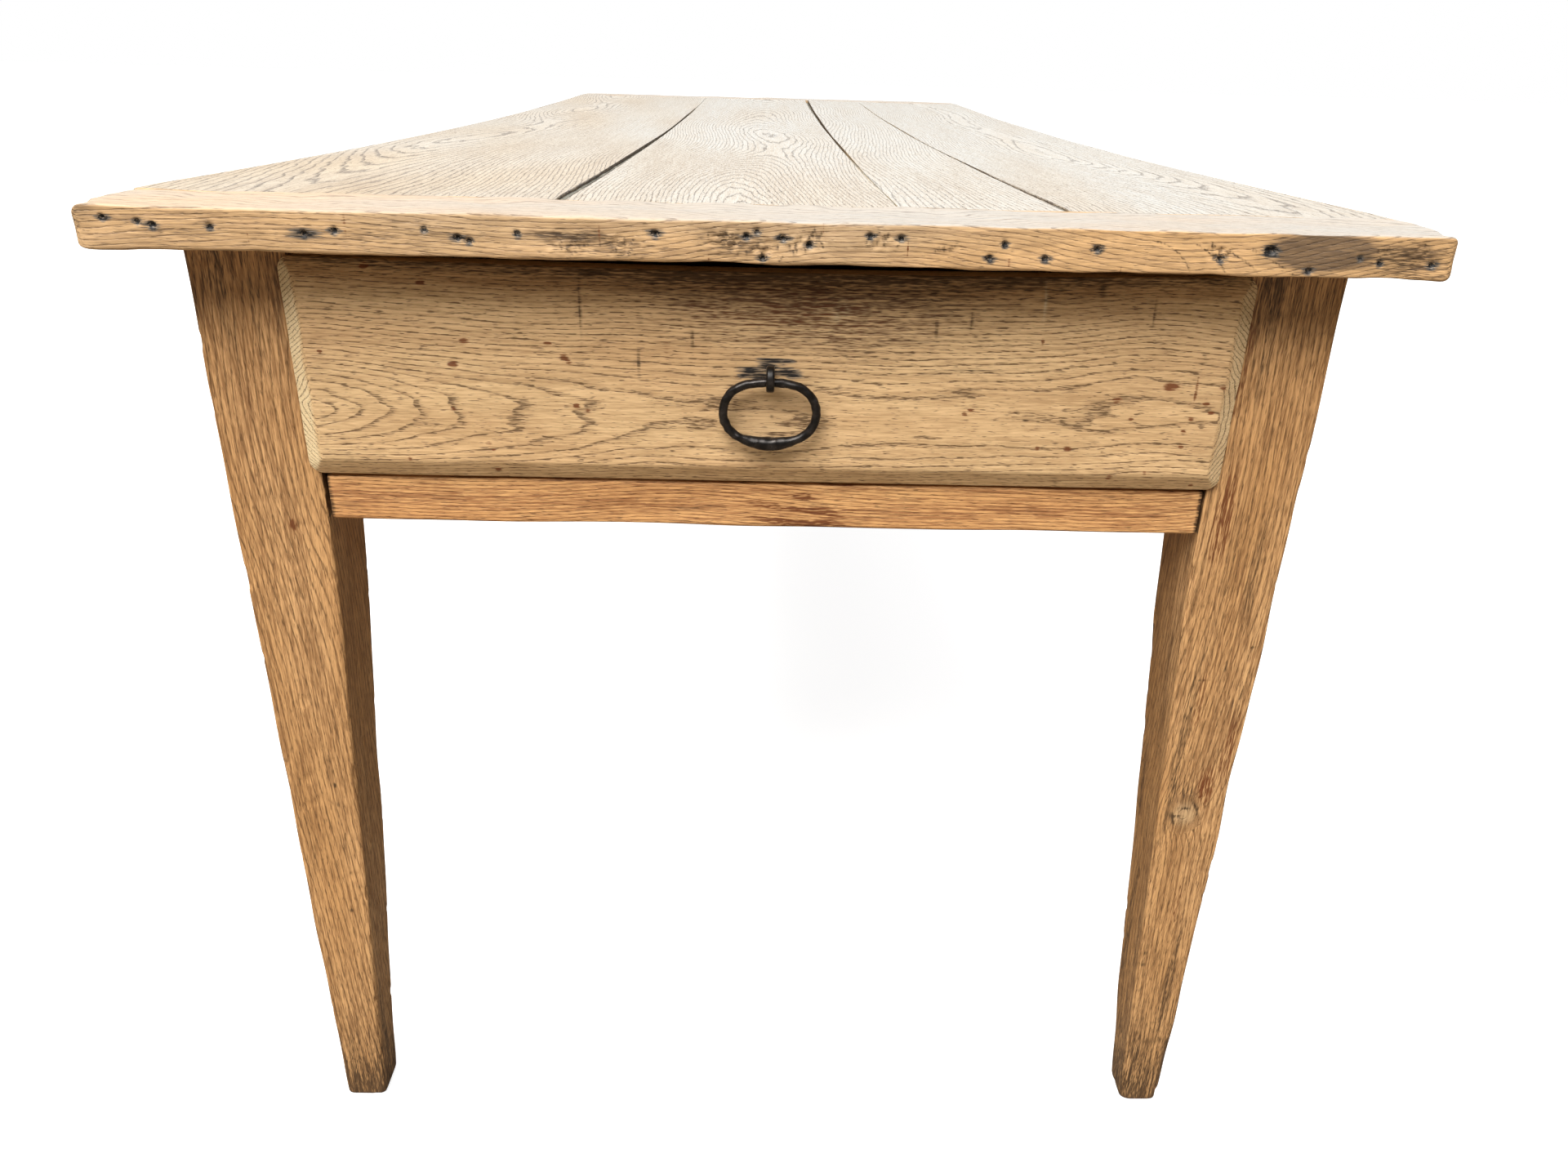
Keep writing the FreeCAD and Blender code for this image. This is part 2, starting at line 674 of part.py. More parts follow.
def top_board(label, left, right, left_gaps, right_gaps, spots, rounded_side):
    """A board of the top, from its left edge to its right one.

    A gap pair is how far the seam stands open at the drawer end and at the back. Spots are the
    screws that bite into the board, and rounded_side is the outer edge, where the board has one.
    """
    width = f"({right}) - ({left})"
    body = new_body(label, left)
    grow(body, "plank", "YZ", "0", width, tongued_plank())
    planed = ("XY", "under_top - top_sag", "top_thickness + top_sag")
    reach = "spline_width / 2 + fit_gap"
    groove = bowed_plank("board_half", "spline_low - fit_gap", "spline_low + spline_thickness + fit_gap")
    if left_gaps:
        front, back = left_gaps
        carve(body, "left_seam", *planed, [("0", "-tongue_half"), (f"{front} / 2", "-tongue_half"),
                                           (f"{back} / 2", "tongue_half"), ("0", "tongue_half")])
        carve(body, "left_groove", "YZ", "0", reach, groove)
    if right_gaps:
        front, back = right_gaps
        carve(body, "right_seam", *planed, [(width, "-tongue_half"), (width, "tongue_half"),
                                            (f"{width} - {back} / 2", "tongue_half"),
                                            (f"{width} - {front} / 2", "-tongue_half")])
        carve(body, "right_groove", "YZ", f"{width} - ({reach})", reach, groove)
    for index, (x, y, z) in enumerate(spots):
        carve(body, f"pilot_{index}", "XY", z, "screw_length + fit_gap",
              circle(f"{x} - ({left})", y, "screw_shank + 2 * fit_gap"))
    if rounded_side:
        outer = number("0" if rounded_side == "left" else width)
        ends = number("board_half")

        def long_edge(edge):
            on_face = all(abs(vertex.X - outer) < SAME_SPOT for vertex in edge.Vertexes)
            runs_along = edge.BoundBox.YLength > edge.BoundBox.ZLength
            clear_of_tongue = abs(edge.CenterOfMass.y) < ends
            return on_face and runs_along and clear_of_tongue
        round_edges(body, "worn_edges", "top_arris", long_edge)
    return body


def top_spline(label, seam):
    """The loose tongue in one seam."""
    body = new_body(label, f"{seam} - spline_width / 2")
    grow(body, "strip", "YZ", "0", "spline_width",
         bowed_plank("board_half", "spline_low", "spline_low + spline_thickness"))
    return body


def breadboard(label, end):
    """The board across one end, grooved for the tongues; end is -1 at the drawer, 1 at the back."""
    body = new_body(label)
    half_width = "table_width / 2"
    outer, inner = "table_length / 2", "board_half"
    groove_end = "tongue_half + tongue_room"
    if end < 0:
        plan = rounded(f"-{half_width}", half_width, f"-{outer}", f"-{inner}",
                       ["near_corner_round", "near_corner_round", None, None])
        groove = rectangle(f"-{half_width}", half_width, f"-({groove_end})", f"-{inner}")
    else:
        plan = rounded(f"-{half_width}", half_width, inner, outer,
                       [None, None, "far_corner_round", "far_corner_round"])
        groove = rectangle(f"-{half_width}", half_width, inner, groove_end)
    grow(body, "board", "XY", "under_top", "top_thickness", plan)
    seam_y = end * number(inner)
    levels = (number("under_top"), number("table_height"))

    def worn(edge):
        off_face = min(abs(edge.CenterOfMass.z - z) for z in levels)
        level = edge.BoundBox.ZLength < SAME_SPOT and off_face < SAME_SPOT
        on_seam = all(abs(vertex.Y - seam_y) < SAME_SPOT for vertex in edge.Vertexes)
        return level and not on_seam
    round_edges(body, "worn_edges", "top_arris", worn)
    carve(body, "groove", "XY", "tongue_low - fit_gap", "tongue_thickness + 2 * fit_gap", groove)
    return body


# The drawer, in a frame whose origin is in the middle of its opening, at the legs' front faces

def tails(root, tip, middle, pitch, number_of, tip_width, length, extra="0"):
    """Dovetails as loops on the YZ plane, widening from root to tip and grown all round by extra."""
    loops = []
    for index in range(number_of):
        centre = f"({middle} + ({index} - ({number_of} - 1) / 2) * {pitch})"
        tip_half = f"({tip_width} / 2 + {extra})"
        root_half = f"({tip_width} / 2 - {length} / tail_slope + {extra})"
        loops.append([(root, f"{centre} - {root_half}"), (tip, f"{centre} - {tip_half}"),
                      (tip, f"{centre} + {tip_half}"), (root, f"{centre} + {root_half}")])
    return loops


def front_tails(extra="0"):
    return tails("front_body", f"front_body - tail_length - {extra}", "drawer_side_height / 2", "tail_pitch",
                 count("tail_count"), "tail_width", "tail_length", extra)


def back_tails(root, extra="0"):
    return tails(root, f"{root} + drawer_back_thickness", "(back_low + back_top) / 2", "back_tail_pitch",
                 count("back_tail_count"), "back_tail_width", "drawer_back_thickness", extra)


def end_sockets(body, loops):
    """Cut dovetail sockets into both ends of a board that runs across the drawer."""
    for name, start in (("left", "-drawer_half"), ("right", "drawer_inner - fit_gap")):
        carve(body, f"{name}_sockets", "YZ", start, "drawer_side_thickness + fit_gap", *loops)


def nail_spots():
    """Plan of the nails along the drawer's back."""
    step = "(2 * drawer_inner / nail_count)"
    return [(f"({index} + 0.5) * {step} - drawer_inner", "drawer_length - drawer_back_thickness / 2")
            for index in range(count("nail_count"))]


def drawer_front(label):
    """The bevelled front, lipped over the legs, with half-blind dovetail sockets behind."""
    body = new_body(label, "0", "-leg_y", "drawer_floor")
    across = "leg_in_x + front_overlap"
    lip = rounded(f"-({across})", across, "front_lift", "front_top", ["lip_corner_round"] * 4)
    field = rounded(f"-({across}) + bevel_width", f"{across} - bevel_width", "front_lift + bevel_width",
                    "front_top - bevel_width", ["field_corner_round"] * 4)
    grow(body, "lip", "XZ", "-lip_front", "lip_edge", lip)
    loft(body, "bevel", "XZ", ("-lip_front", lip), ("-face_out", field))
    grow(body, "core", "XZ", "-drawer_clearance", "front_body + drawer_clearance",
         rectangle("-drawer_half", "drawer_half", "front_lift", "front_top"))
    end_sockets(body, front_tails("fit_gap"))
    carve(body, "bottom_groove", "XY", "groove_height - fit_gap", "bottom_thickness + 2 * fit_gap",
          rectangle("-drawer_inner - groove_depth", "drawer_inner + groove_depth",
                    "front_body - groove_depth", "front_body"))
    middle = "eye_height - drawer_floor"
    carve(body, "pin_hole", "XZ", "-face_out", "face_out + front_body",
          rectangle("-strap_width / 2 - fit_gap", "strap_width / 2 + fit_gap",
                    f"{middle} - strap_thickness - fit_gap", f"{middle} + strap_thickness + fit_gap"))
    return body


def drawer_side(label):
    """The left side, with lapped tails at the front, through tails at the back and a groove inside."""
    body = new_body(label, "-drawer_half", "-leg_y", "drawer_floor")
    shoulder = "drawer_length - drawer_back_thickness"
    thickness = "drawer_side_thickness"
    grow(body, "board", "YZ", "0", thickness, rectangle("front_body", shoulder, "0", "drawer_side_height"))
    grow(body, "heel", "YZ", "0", thickness, rectangle(shoulder, "drawer_length", "0", "back_low - fit_gap"))
    grow(body, "front_tails", "YZ", "0", thickness, *front_tails())
    grow(body, "back_tails", "YZ", "0", thickness, *back_tails(shoulder))
    carve(body, "bottom_groove", "XY", "groove_height - fit_gap", "bottom_thickness + 2 * fit_gap",
          rectangle("drawer_side_thickness - groove_depth", thickness,
                    "front_body - groove_depth", "drawer_length"))
    return body


def drawer_back(label):
    """The back, standing on the bottom boards, its ends cut for the sides' through tails."""
    body = new_body(label, "0", "-leg_y", "drawer_floor")
    inner_face = "drawer_length - drawer_back_thickness"
    grow(body, "board", "XZ", inner_face, "drawer_back_thickness",
         rectangle("-drawer_half", "drawer_half", "back_low", "back_top"))
    end_sockets(body, back_tails(inner_face, "fit_gap"))
    holes = [circle(*spot, "nail_shank + 2 * fit_gap") for spot in nail_spots()]
    carve(body, "nail_holes", "XY", "back_low", "groove_height + nail_length + fit_gap - back_low", *holes)
    return body


def drawer_bottom(label, index):
    """One board of the bottom, held in the grooves; the last one is nailed up into the back."""
    body = new_body(label, "0", "-leg_y", "drawer_floor")
    across = "drawer_inner + groove_depth - fit_gap"
    front = f"bottom_front + {index} * bottom_pitch"
    grow(body, "board", "XY", "groove_height", "bottom_thickness",
         rectangle(f"-({across})", across, front, f"{front} + bottom_pitch - bottom_gap"))
    if index == count("bottom_count") - 1:
        holes = [circle(*spot, "nail_shank + 2 * fit_gap") for spot in nail_spots()]
        carve(body, "nail_holes", "XY", "groove_height", "bottom_thickness", *holes)
    return body


# The iron pull

def ring_staple(label):
    """A split pin bent from one strap: an eye in front, two legs through the wood, clenched behind."""
    body = new_body(label, "0", "-leg_y - eye_out", "eye_height")
    width = ("YZ", "-strap_width / 2", "strap_width")
    grow(body, "eye", *width, circle("0", "0", "2 * eye_outside"), circle("0", "0", "eye_inside"))
    grow(body, "shank", *width, rectangle("eye_outside - strap_thickness / 2", "shank_end",
                                          "-strap_thickness", "strap_thickness"))
    bent = "shank_end + strap_thickness"
    for name, way in (("upper", 1), ("lower", -1)):
        grow(body, f"{name}_clench", *width, [
            ("shank_end", "0"), (bent, "0"), (bent, f"{way} * strap_thickness"),
            ("shank_end + clench_point", f"{way} * clench_length"), ("shank_end", f"{way} * clench_length")])
    carve(body, "split", *width, rectangle("eye_outside", bent, "-split_gap / 2", "split_gap / 2"))
    return body


def swell_section(way, share, diameter):
    """A round section of the ring's swelling, at a share of its half length from the ring's lowest spot.

    It follows the bow of the bar, hangs below it in the middle and runs out inside it at the tips.
    """
    away = f"{share} * swell_length / 2"
    bar_rise = f"ring_bow - sqrt(ring_bow ^ 2 - ({away}) ^ 2)"
    drop = f"swell_drop * (1 - {share} ^ 2)"
    return f"{way} * {away}", circle("0", f"{bar_rise} - {drop}", diameter)


def pull_ring(label):
    """The drop ring, an oval of four arcs, swollen along its foot, where it has its own origin."""
    body = new_body(label, "0", "-leg_y - eye_out", "eye_height - ring_drop - ring_height")
    upper = "ring_height - ring_join_up"
    path = sketch_on(body, "ring_path", "XZ", "0", [[
        ("0", "0", "ring_bow", 1), ("ring_join_out", "ring_join_up", "ring_end", 1),
        ("ring_join_out", upper, "ring_bow", 1), ("-ring_join_out", upper, "ring_end", 1),
        ("-ring_join_out", "ring_join_up", "ring_bow", 1)]])
    pipe = body.newObject("PartDesign::AdditivePipe", "bar")
    pipe.Profile = sketch_on(body, "bar_section", "YZ", "0", [circle("0", "0", "ring_bar")])
    pipe.Spine = path
    stations = [(-1, 1, "swell_tip"), (-1, 0.5, "swell_shoulder"), (1, 0, "ring_swell"),
                (1, 0.5, "swell_shoulder"), (1, 1, "swell_tip")]
    loft(body, "swelling", "YZ", *[swell_section(*station) for station in stations], ruled=False)
    return body


# Build every piece

left_leg_front = leg("leg_front_left", 1)
left_leg_back = leg("leg_back_left", -1)
left_rail = side_rail("side_rail_left")
left_runner = drawer_runner("drawer_runner_left")
left_guide = drawer_guide("drawer_guide_left")
left_cleat_front = cleat("top_cleat_front_left", -1)
left_cleat_back = cleat("top_cleat_back_left", 1)
left_pegs = side_pegs("rail_pegs_left")
left_drawer_side = drawer_side("drawer_side_left")

cleat_spots, batten_spots = screw_spots()
left_cleat_spots = cleat_spots[:len(cleat_spots) // 2]
right_cleat_spots = cleat_spots[len(cleat_spots) // 2:]
one_screw = screw("screw_pattern")
one_nail = nail("nail_pattern")
bottoms = range(count("bottom_count"))
nail_level = "drawer_floor + groove_height"

seam_gaps = [("open_gap", "tight_gap"), ("tight_gap", "open_gap"), ("half_open_gap", "tight_gap")]

pieces = [
    left_leg_front,
    mirrored(left_leg_front, "leg_front_right"),
    left_leg_back,
    mirrored(left_leg_back, "leg_back_right"),
    left_rail,
    mirrored(left_rail, "side_rail_right"),
    back_rail("back_rail"),
    drawer_rail("drawer_rail"),
    cross_bearer("cross_bearer"),
    left_runner,
    mirrored(left_runner, "drawer_runner_right"),
    left_guide,
    mirrored(left_guide, "drawer_guide_right"),
    left_pegs,
    mirrored(left_pegs, "rail_pegs_right"),
    back_pegs("back_rail_pegs"),
    left_cleat_front,
    mirrored(left_cleat_front, "top_cleat_front_right"),
    left_cleat_back,
    mirrored(left_cleat_back, "top_cleat_back_right"),
    top_batten("top_batten"),
    group("top_screws", one_screw, cleat_spots + batten_spots),
    top_board("top_board_1", *BOARD_EDGES[0:2], None, seam_gaps[0],
              left_cleat_spots + batten_spots[0:1], "left"),
    top_board("top_board_2", *BOARD_EDGES[1:3], seam_gaps[0], seam_gaps[1], batten_spots[1:2], None),
    top_board("top_board_3", *BOARD_EDGES[2:4], seam_gaps[1], seam_gaps[2], batten_spots[2:3], None),
    top_board("top_board_4", *BOARD_EDGES[3:5], seam_gaps[2], None,
              right_cleat_spots + batten_spots[3:4], "right"),
    *[top_spline(f"top_spline_{index}", seam) for index, seam in enumerate(SEAMS, start=1)],
    breadboard("breadboard_end_front", -1),
    breadboard("breadboard_end_back", 1),
    drawer_front("drawer_front"),
    left_drawer_side,
    mirrored(left_drawer_side, "drawer_side_right"),
    drawer_back("drawer_back"),
    *[drawer_bottom(f"drawer_bottom_{index + 1}", index) for index in bottoms],
    group("bottom_nails", one_nail, [(x, f"{y} - leg_y", nail_level) for x, y in nail_spots()]),
    ring_staple("ring_staple"),
    pull_ring("pull_ring"),
]

doc.recompute()

# Check the document, then write one file for each piece

for item in doc.Objects:
    if {"Invalid", "Error"} & set(item.State):
        raise RuntimeError(f"{item.Label} failed: {item.State}")
    if item.TypeId == "PartDesign::Pocket" and item.Shape.Volume >= item.BaseFeature.Shape.Volume - SAME_SPOT:
        raise RuntimeError(f"{item.Label} in {item.getParentGeoFeatureGroup().Label} cuts nothing")
for piece in pieces:
    if piece.Shape.isNull() or not piece.Shape.isValid():
        raise RuntimeError(f"{piece.Label} has no valid shape")

os.makedirs("parts", exist_ok=True)
for piece in pieces:
    piece.Shape.exportStep(f"parts/{piece.Label}.step")
    print(f"{piece.Label}: {len(piece.Shape.Solids)} solid(s), {piece.Shape.Volume / 1000:.1f} cm3")
print(f"{len(pieces)} pieces written")
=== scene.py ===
# %% [markdown]
# # An old oak tavern table, dressed in Blender
# The table was drawn and jointed as a CAD part. This lesson loads that part as a fixed frame and gives each
# piece that shows the softened shape and the dry, scrubbed oak that a long life in a kitchen gives it.
# Everything is in metres, in the frame of the CAD part: the drawer end faces -Y and +Z is up.

# %% Load the CAD part
import math

import bpy
import numpy as np
from mathutils import Matrix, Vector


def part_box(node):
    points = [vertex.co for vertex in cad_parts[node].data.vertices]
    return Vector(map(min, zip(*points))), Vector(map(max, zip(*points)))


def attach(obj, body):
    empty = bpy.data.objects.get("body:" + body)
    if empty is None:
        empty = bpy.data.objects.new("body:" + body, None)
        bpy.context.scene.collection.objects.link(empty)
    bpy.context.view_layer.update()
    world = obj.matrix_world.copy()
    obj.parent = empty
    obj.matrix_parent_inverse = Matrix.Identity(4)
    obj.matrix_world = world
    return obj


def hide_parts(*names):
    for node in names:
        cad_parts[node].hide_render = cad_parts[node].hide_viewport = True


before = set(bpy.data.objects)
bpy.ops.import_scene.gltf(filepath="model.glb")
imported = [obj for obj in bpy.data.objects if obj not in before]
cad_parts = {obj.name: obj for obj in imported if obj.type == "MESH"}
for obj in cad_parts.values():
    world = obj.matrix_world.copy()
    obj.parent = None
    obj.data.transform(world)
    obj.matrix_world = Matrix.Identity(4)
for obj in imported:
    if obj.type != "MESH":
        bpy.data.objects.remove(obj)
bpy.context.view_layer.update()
MM = 0.001

# %% [markdown]
# ## The camera
# The photo was taken from close in front of the drawer end, a little above the top and looking down, with a
# wide lens. Its place and turn were worked out from the edges of the top, the legs, the rail and the
# drawer. Setting the camera first also lets marks on the wood be placed by the pixel at which the photo
# shows them.

# %% Camera
PHOTO_WIDE, PHOTO_HIGH = 1920, 1440
FOCAL_PIXELS = 1375
CAMERA_PLACE = np.array([-0.005, -1.693, 0.845])
YAW, PITCH, ROLL = np.radians([1.42, 25.35, 1.6])
SENSOR_MM = 36

forward = np.array([math.sin(YAW) * math.cos(PITCH), math.cos(YAW) * math.cos(PITCH), -math.sin(PITCH)])
level_right = np.array([math.cos(YAW), -math.sin(YAW), 0])
level_up = np.cross(level_right, forward)
camera_right = math.cos(ROLL) * level_right + math.sin(ROLL) * level_up
camera_up = math.cos(ROLL) * level_up - math.sin(ROLL) * level_right

camera_data = bpy.data.cameras.new("photo_camera")
camera_data.sensor_width = SENSOR_MM
camera_data.lens = FOCAL_PIXELS / PHOTO_WIDE * SENSOR_MM
camera = bpy.data.objects.new("photo_camera", camera_data)
turn = np.eye(4)
turn[:3] = np.column_stack([camera_right, camera_up, -forward, CAMERA_PLACE])
camera.matrix_world = Matrix(turn.tolist())
bpy.context.collection.objects.link(camera)
bpy.context.scene.camera = camera
print(f"lens {camera_data.lens:.1f} mm, {CAMERA_PLACE[2]:.2f} m above the floor")


# %% Where a photo pixel lies on the table
def seen_on(pixels, y):
    """Points where the view rays through photo pixels meet the upright plane at y.

    A ray is forward times the focal length, plus right and up times the pixel's offset from the middle.
    """
    across, down = np.asarray(pixels, float)[:, :2].T
    ray = (FOCAL_PIXELS * forward + np.outer(across - PHOTO_WIDE / 2, camera_right)
           + np.outer(PHOTO_HIGH / 2 - down, camera_up))
    reach = (y - CAMERA_PLACE[1]) / ray[:, 1]
    return CAMERA_PLACE + reach[:, None] * ray


def seen_marks(marks, y):
    """Oval marks on the upright plane at y: middle x, middle z, half width and half height (m), and strength.

    Each is given as pixel across, pixel down, half width and half height in mm, and strength.
    """
    return np.column_stack([seen_on(marks, y)[:, [0, 2]], np.asarray(marks)[:, 2:] * [MM, MM, 1]])


# %% [markdown]
# ## Light and floor
# The light on the table is bright and even, as under a cloudy sky, so its top is almost white and what the
# top overhangs is dark. The world is such a sky: brightest overhead and dimmer towards the horizon, but
# bright behind the table, where it makes the dry top gleam. It is plain white where the camera looks at it.
# One very large soft light, high in front and far off so that it reaches both ends of the top alike, stands
# for the bright part of the clouds. The floor looks white but gives back only as much light as dark ground.

# %% Colours and nodes
def srgb(text):
    """An sRGB hex colour as the four linear numbers that shaders take."""
    value = np.array([int(text[i:i + 2], 16) for i in (1, 3, 5)]) / 255
    linear = np.where(value <= 0.04045, value / 12.92, ((value + 0.055) / 1.055) ** 2.4)
    return (*linear.tolist(), 1.0)


def bare_tree(owner):
    """The emptied node tree of a material or a world."""
    owner.use_nodes = True
    owner.node_tree.nodes.clear()
    return owner.node_tree


def node(tree, kind, inputs=None, out=0, **settings):
    """Adds a node with its settings. An input is a number, a colour or a node's output, which is linked."""
    made = tree.nodes.new(kind)
    for name, value in settings.items():
        setattr(made, name, value)
    for socket, value in (inputs or {}).items():
        if isinstance(value, bpy.types.NodeSocket):
            tree.links.new(value, made.inputs[socket])
        else:
            made.inputs[socket].default_value = value
    return made.outputs[out] if len(made.outputs) else made


# %% World
# how bright the sky is in front of the table and behind it, and how much brighter it is overhead
SKY_FRONT, SKY_BEHIND, SKY_OVERHEAD = 0.09, 1.05, 0.85
bpy.context.scene.view_settings.view_transform = "Standard"
world = bpy.data.worlds.new("bright_sky")
bpy.context.scene.world = world
sky = bare_tree(world)
to_camera = node(sky, "ShaderNodeLightPath", out="Is Camera Ray")
way = node(sky, "ShaderNodeTexCoord", out="Generated")
height = node(sky, "ShaderNodeSeparateXYZ", {0: way}, out="Z")
behind = node(sky, "ShaderNodeSeparateXYZ", {0: way}, out="Y")
steep = node(sky, "ShaderNodeMath", {0: height, 1: height}, operation="MULTIPLY", use_clamp=True)
open_side = node(sky, "ShaderNodeMapRange", {0: behind, 3: SKY_FRONT, 4: SKY_BEHIND})
brightness = node(sky, "ShaderNodeMath", {0: steep, 1: SKY_OVERHEAD, 2: open_side}, operation="MULTIPLY_ADD")
graded = node(sky, "ShaderNodeBackground", {"Color": srgb("#FDFDFF"), "Strength": brightness})
white = node(sky, "ShaderNodeBackground", {"Color": srgb("#FFFFFF"), "Strength": 1.0})
both = node(sky, "ShaderNodeMixShader", {0: to_camera, 1: graded, 2: white})
node(sky, "ShaderNodeOutputWorld", {"Surface": both})


# %% Lights and floor
# the direction that a lamp's upper edge is nearest to
LAMP_UPRIGHT = (0, 1, 0.02)


def soft_light(name, place, aim, size, watts, tint):
    """A rectangular area light of the given size (m), turned to face its aim."""
    data = bpy.data.lights.new(name, "AREA")
    data.shape = "RECTANGLE"
    data.size, data.size_y = size
    data.energy = watts
    data.color = srgb(tint)[:3]
    lamp = bpy.data.objects.new(name, data)
    way = np.subtract(aim, place)
    side = np.cross(way, LAMP_UPRIGHT)
    side /= np.linalg.norm(side)
    back = -way / np.linalg.norm(way)
    pose = np.eye(4)
    pose[:3] = np.column_stack([side, np.cross(back, side), back, place])
    lamp.matrix_world = Matrix(pose.tolist())
    bpy.context.collection.objects.link(lamp)


soft_light("bright_cloud", (-3.5, -7.6, 12.3), (0.0, -0.9, 0.5), (11, 11), 4700, "#FFFBF5")

FLOOR_REACH = 40.0
FLOOR_GLOW = 0.82
floor_mesh = bpy.data.meshes.new("floor")
floor_mesh.from_pydata([(-FLOOR_REACH, -FLOOR_REACH, 0), (FLOOR_REACH, -FLOOR_REACH, 0),
                        (FLOOR_REACH, FLOOR_REACH, 0), (-FLOOR_REACH, FLOOR_REACH, 0)], [], [(0, 1, 2, 3)])
floor = bpy.data.objects.new("floor", floor_mesh)
floor_paint = bpy.data.materials.new("matt_white_floor")
ground = bare_tree(floor_paint)
to_camera = node(ground, "ShaderNodeLightPath", out="Is Camera Ray")
paint_white = node(ground, "ShaderNodeBsdfDiffuse", {"Color": srgb("#B4B4B4")})
glow = node(ground, "ShaderNodeEmission", {"Color": srgb("#FFFFFF"), "Strength": FLOOR_GLOW})
shown = node(ground, "ShaderNodeAddShader", {0: paint_white, 1: glow})
giving_back = node(ground, "ShaderNodeBsdfDiffuse", {"Color": srgb("#7E7466")})
surface = node(ground, "ShaderNodeMixShader", {0: to_camera, 1: giving_back, 2: shown})
node(ground, "ShaderNodeOutputMaterial", {"Surface": surface})
floor_mesh.materials.append(floor_paint)
bpy.context.collection.objects.link(floor)

# %% [markdown]
# ## Oak as a material
# Oak is ring-porous: each year starts with a band of wide pores, which show as dark dashes along the grain
# and are crowded where the year begins. So the finish needs three things: how far a point is from the heart
# of its tree, which gives the year rings; dashes stretched along the grain for the pores; and slow changes
# of tone. Old marks, such as iron stains, dirt and bleaching, are painted on the surface as numbers between
# 0 and 1 that the finish reads; so are painted shade under the top and in gaps, and painted sheen on the
# top. An image could hold all that, but a worked-out grain goes right through the wood and turns round
# corners.

# %% The oak finish
# noise in the wood: what it draws, its size along and across the grain in mm, and its levels of detail
WOOD_NOISE = (("cloud", (260, 48), 2.0), ("band", (240, 8), 2.0), ("fibre", (32, 1.3), 2.0),
              ("fleck", (9, 0.8), 1.0), ("waver", (70, 8), 1.0), ("pore", (6.5, 0.65), 1.0))
# painted marks, from the lowest: attribute, colour, where it starts and is full, and how much it then covers
# grime is dirt, and in places also painted shade: under the top and in narrow gaps
WOOD_MARKS = (("stain", "#43372F", 0.10, 0.90, 0.80), ("grime", "#3A2A1C", 0.08, 0.85, 0.85),
              ("rust", "#6B3B1D", 0.20, 0.60, 0.94), ("ink", "#494A4A", 0.12, 0.45, 0.7),
              ("ink", "#131315", 0.45, 0.85, 0.96))


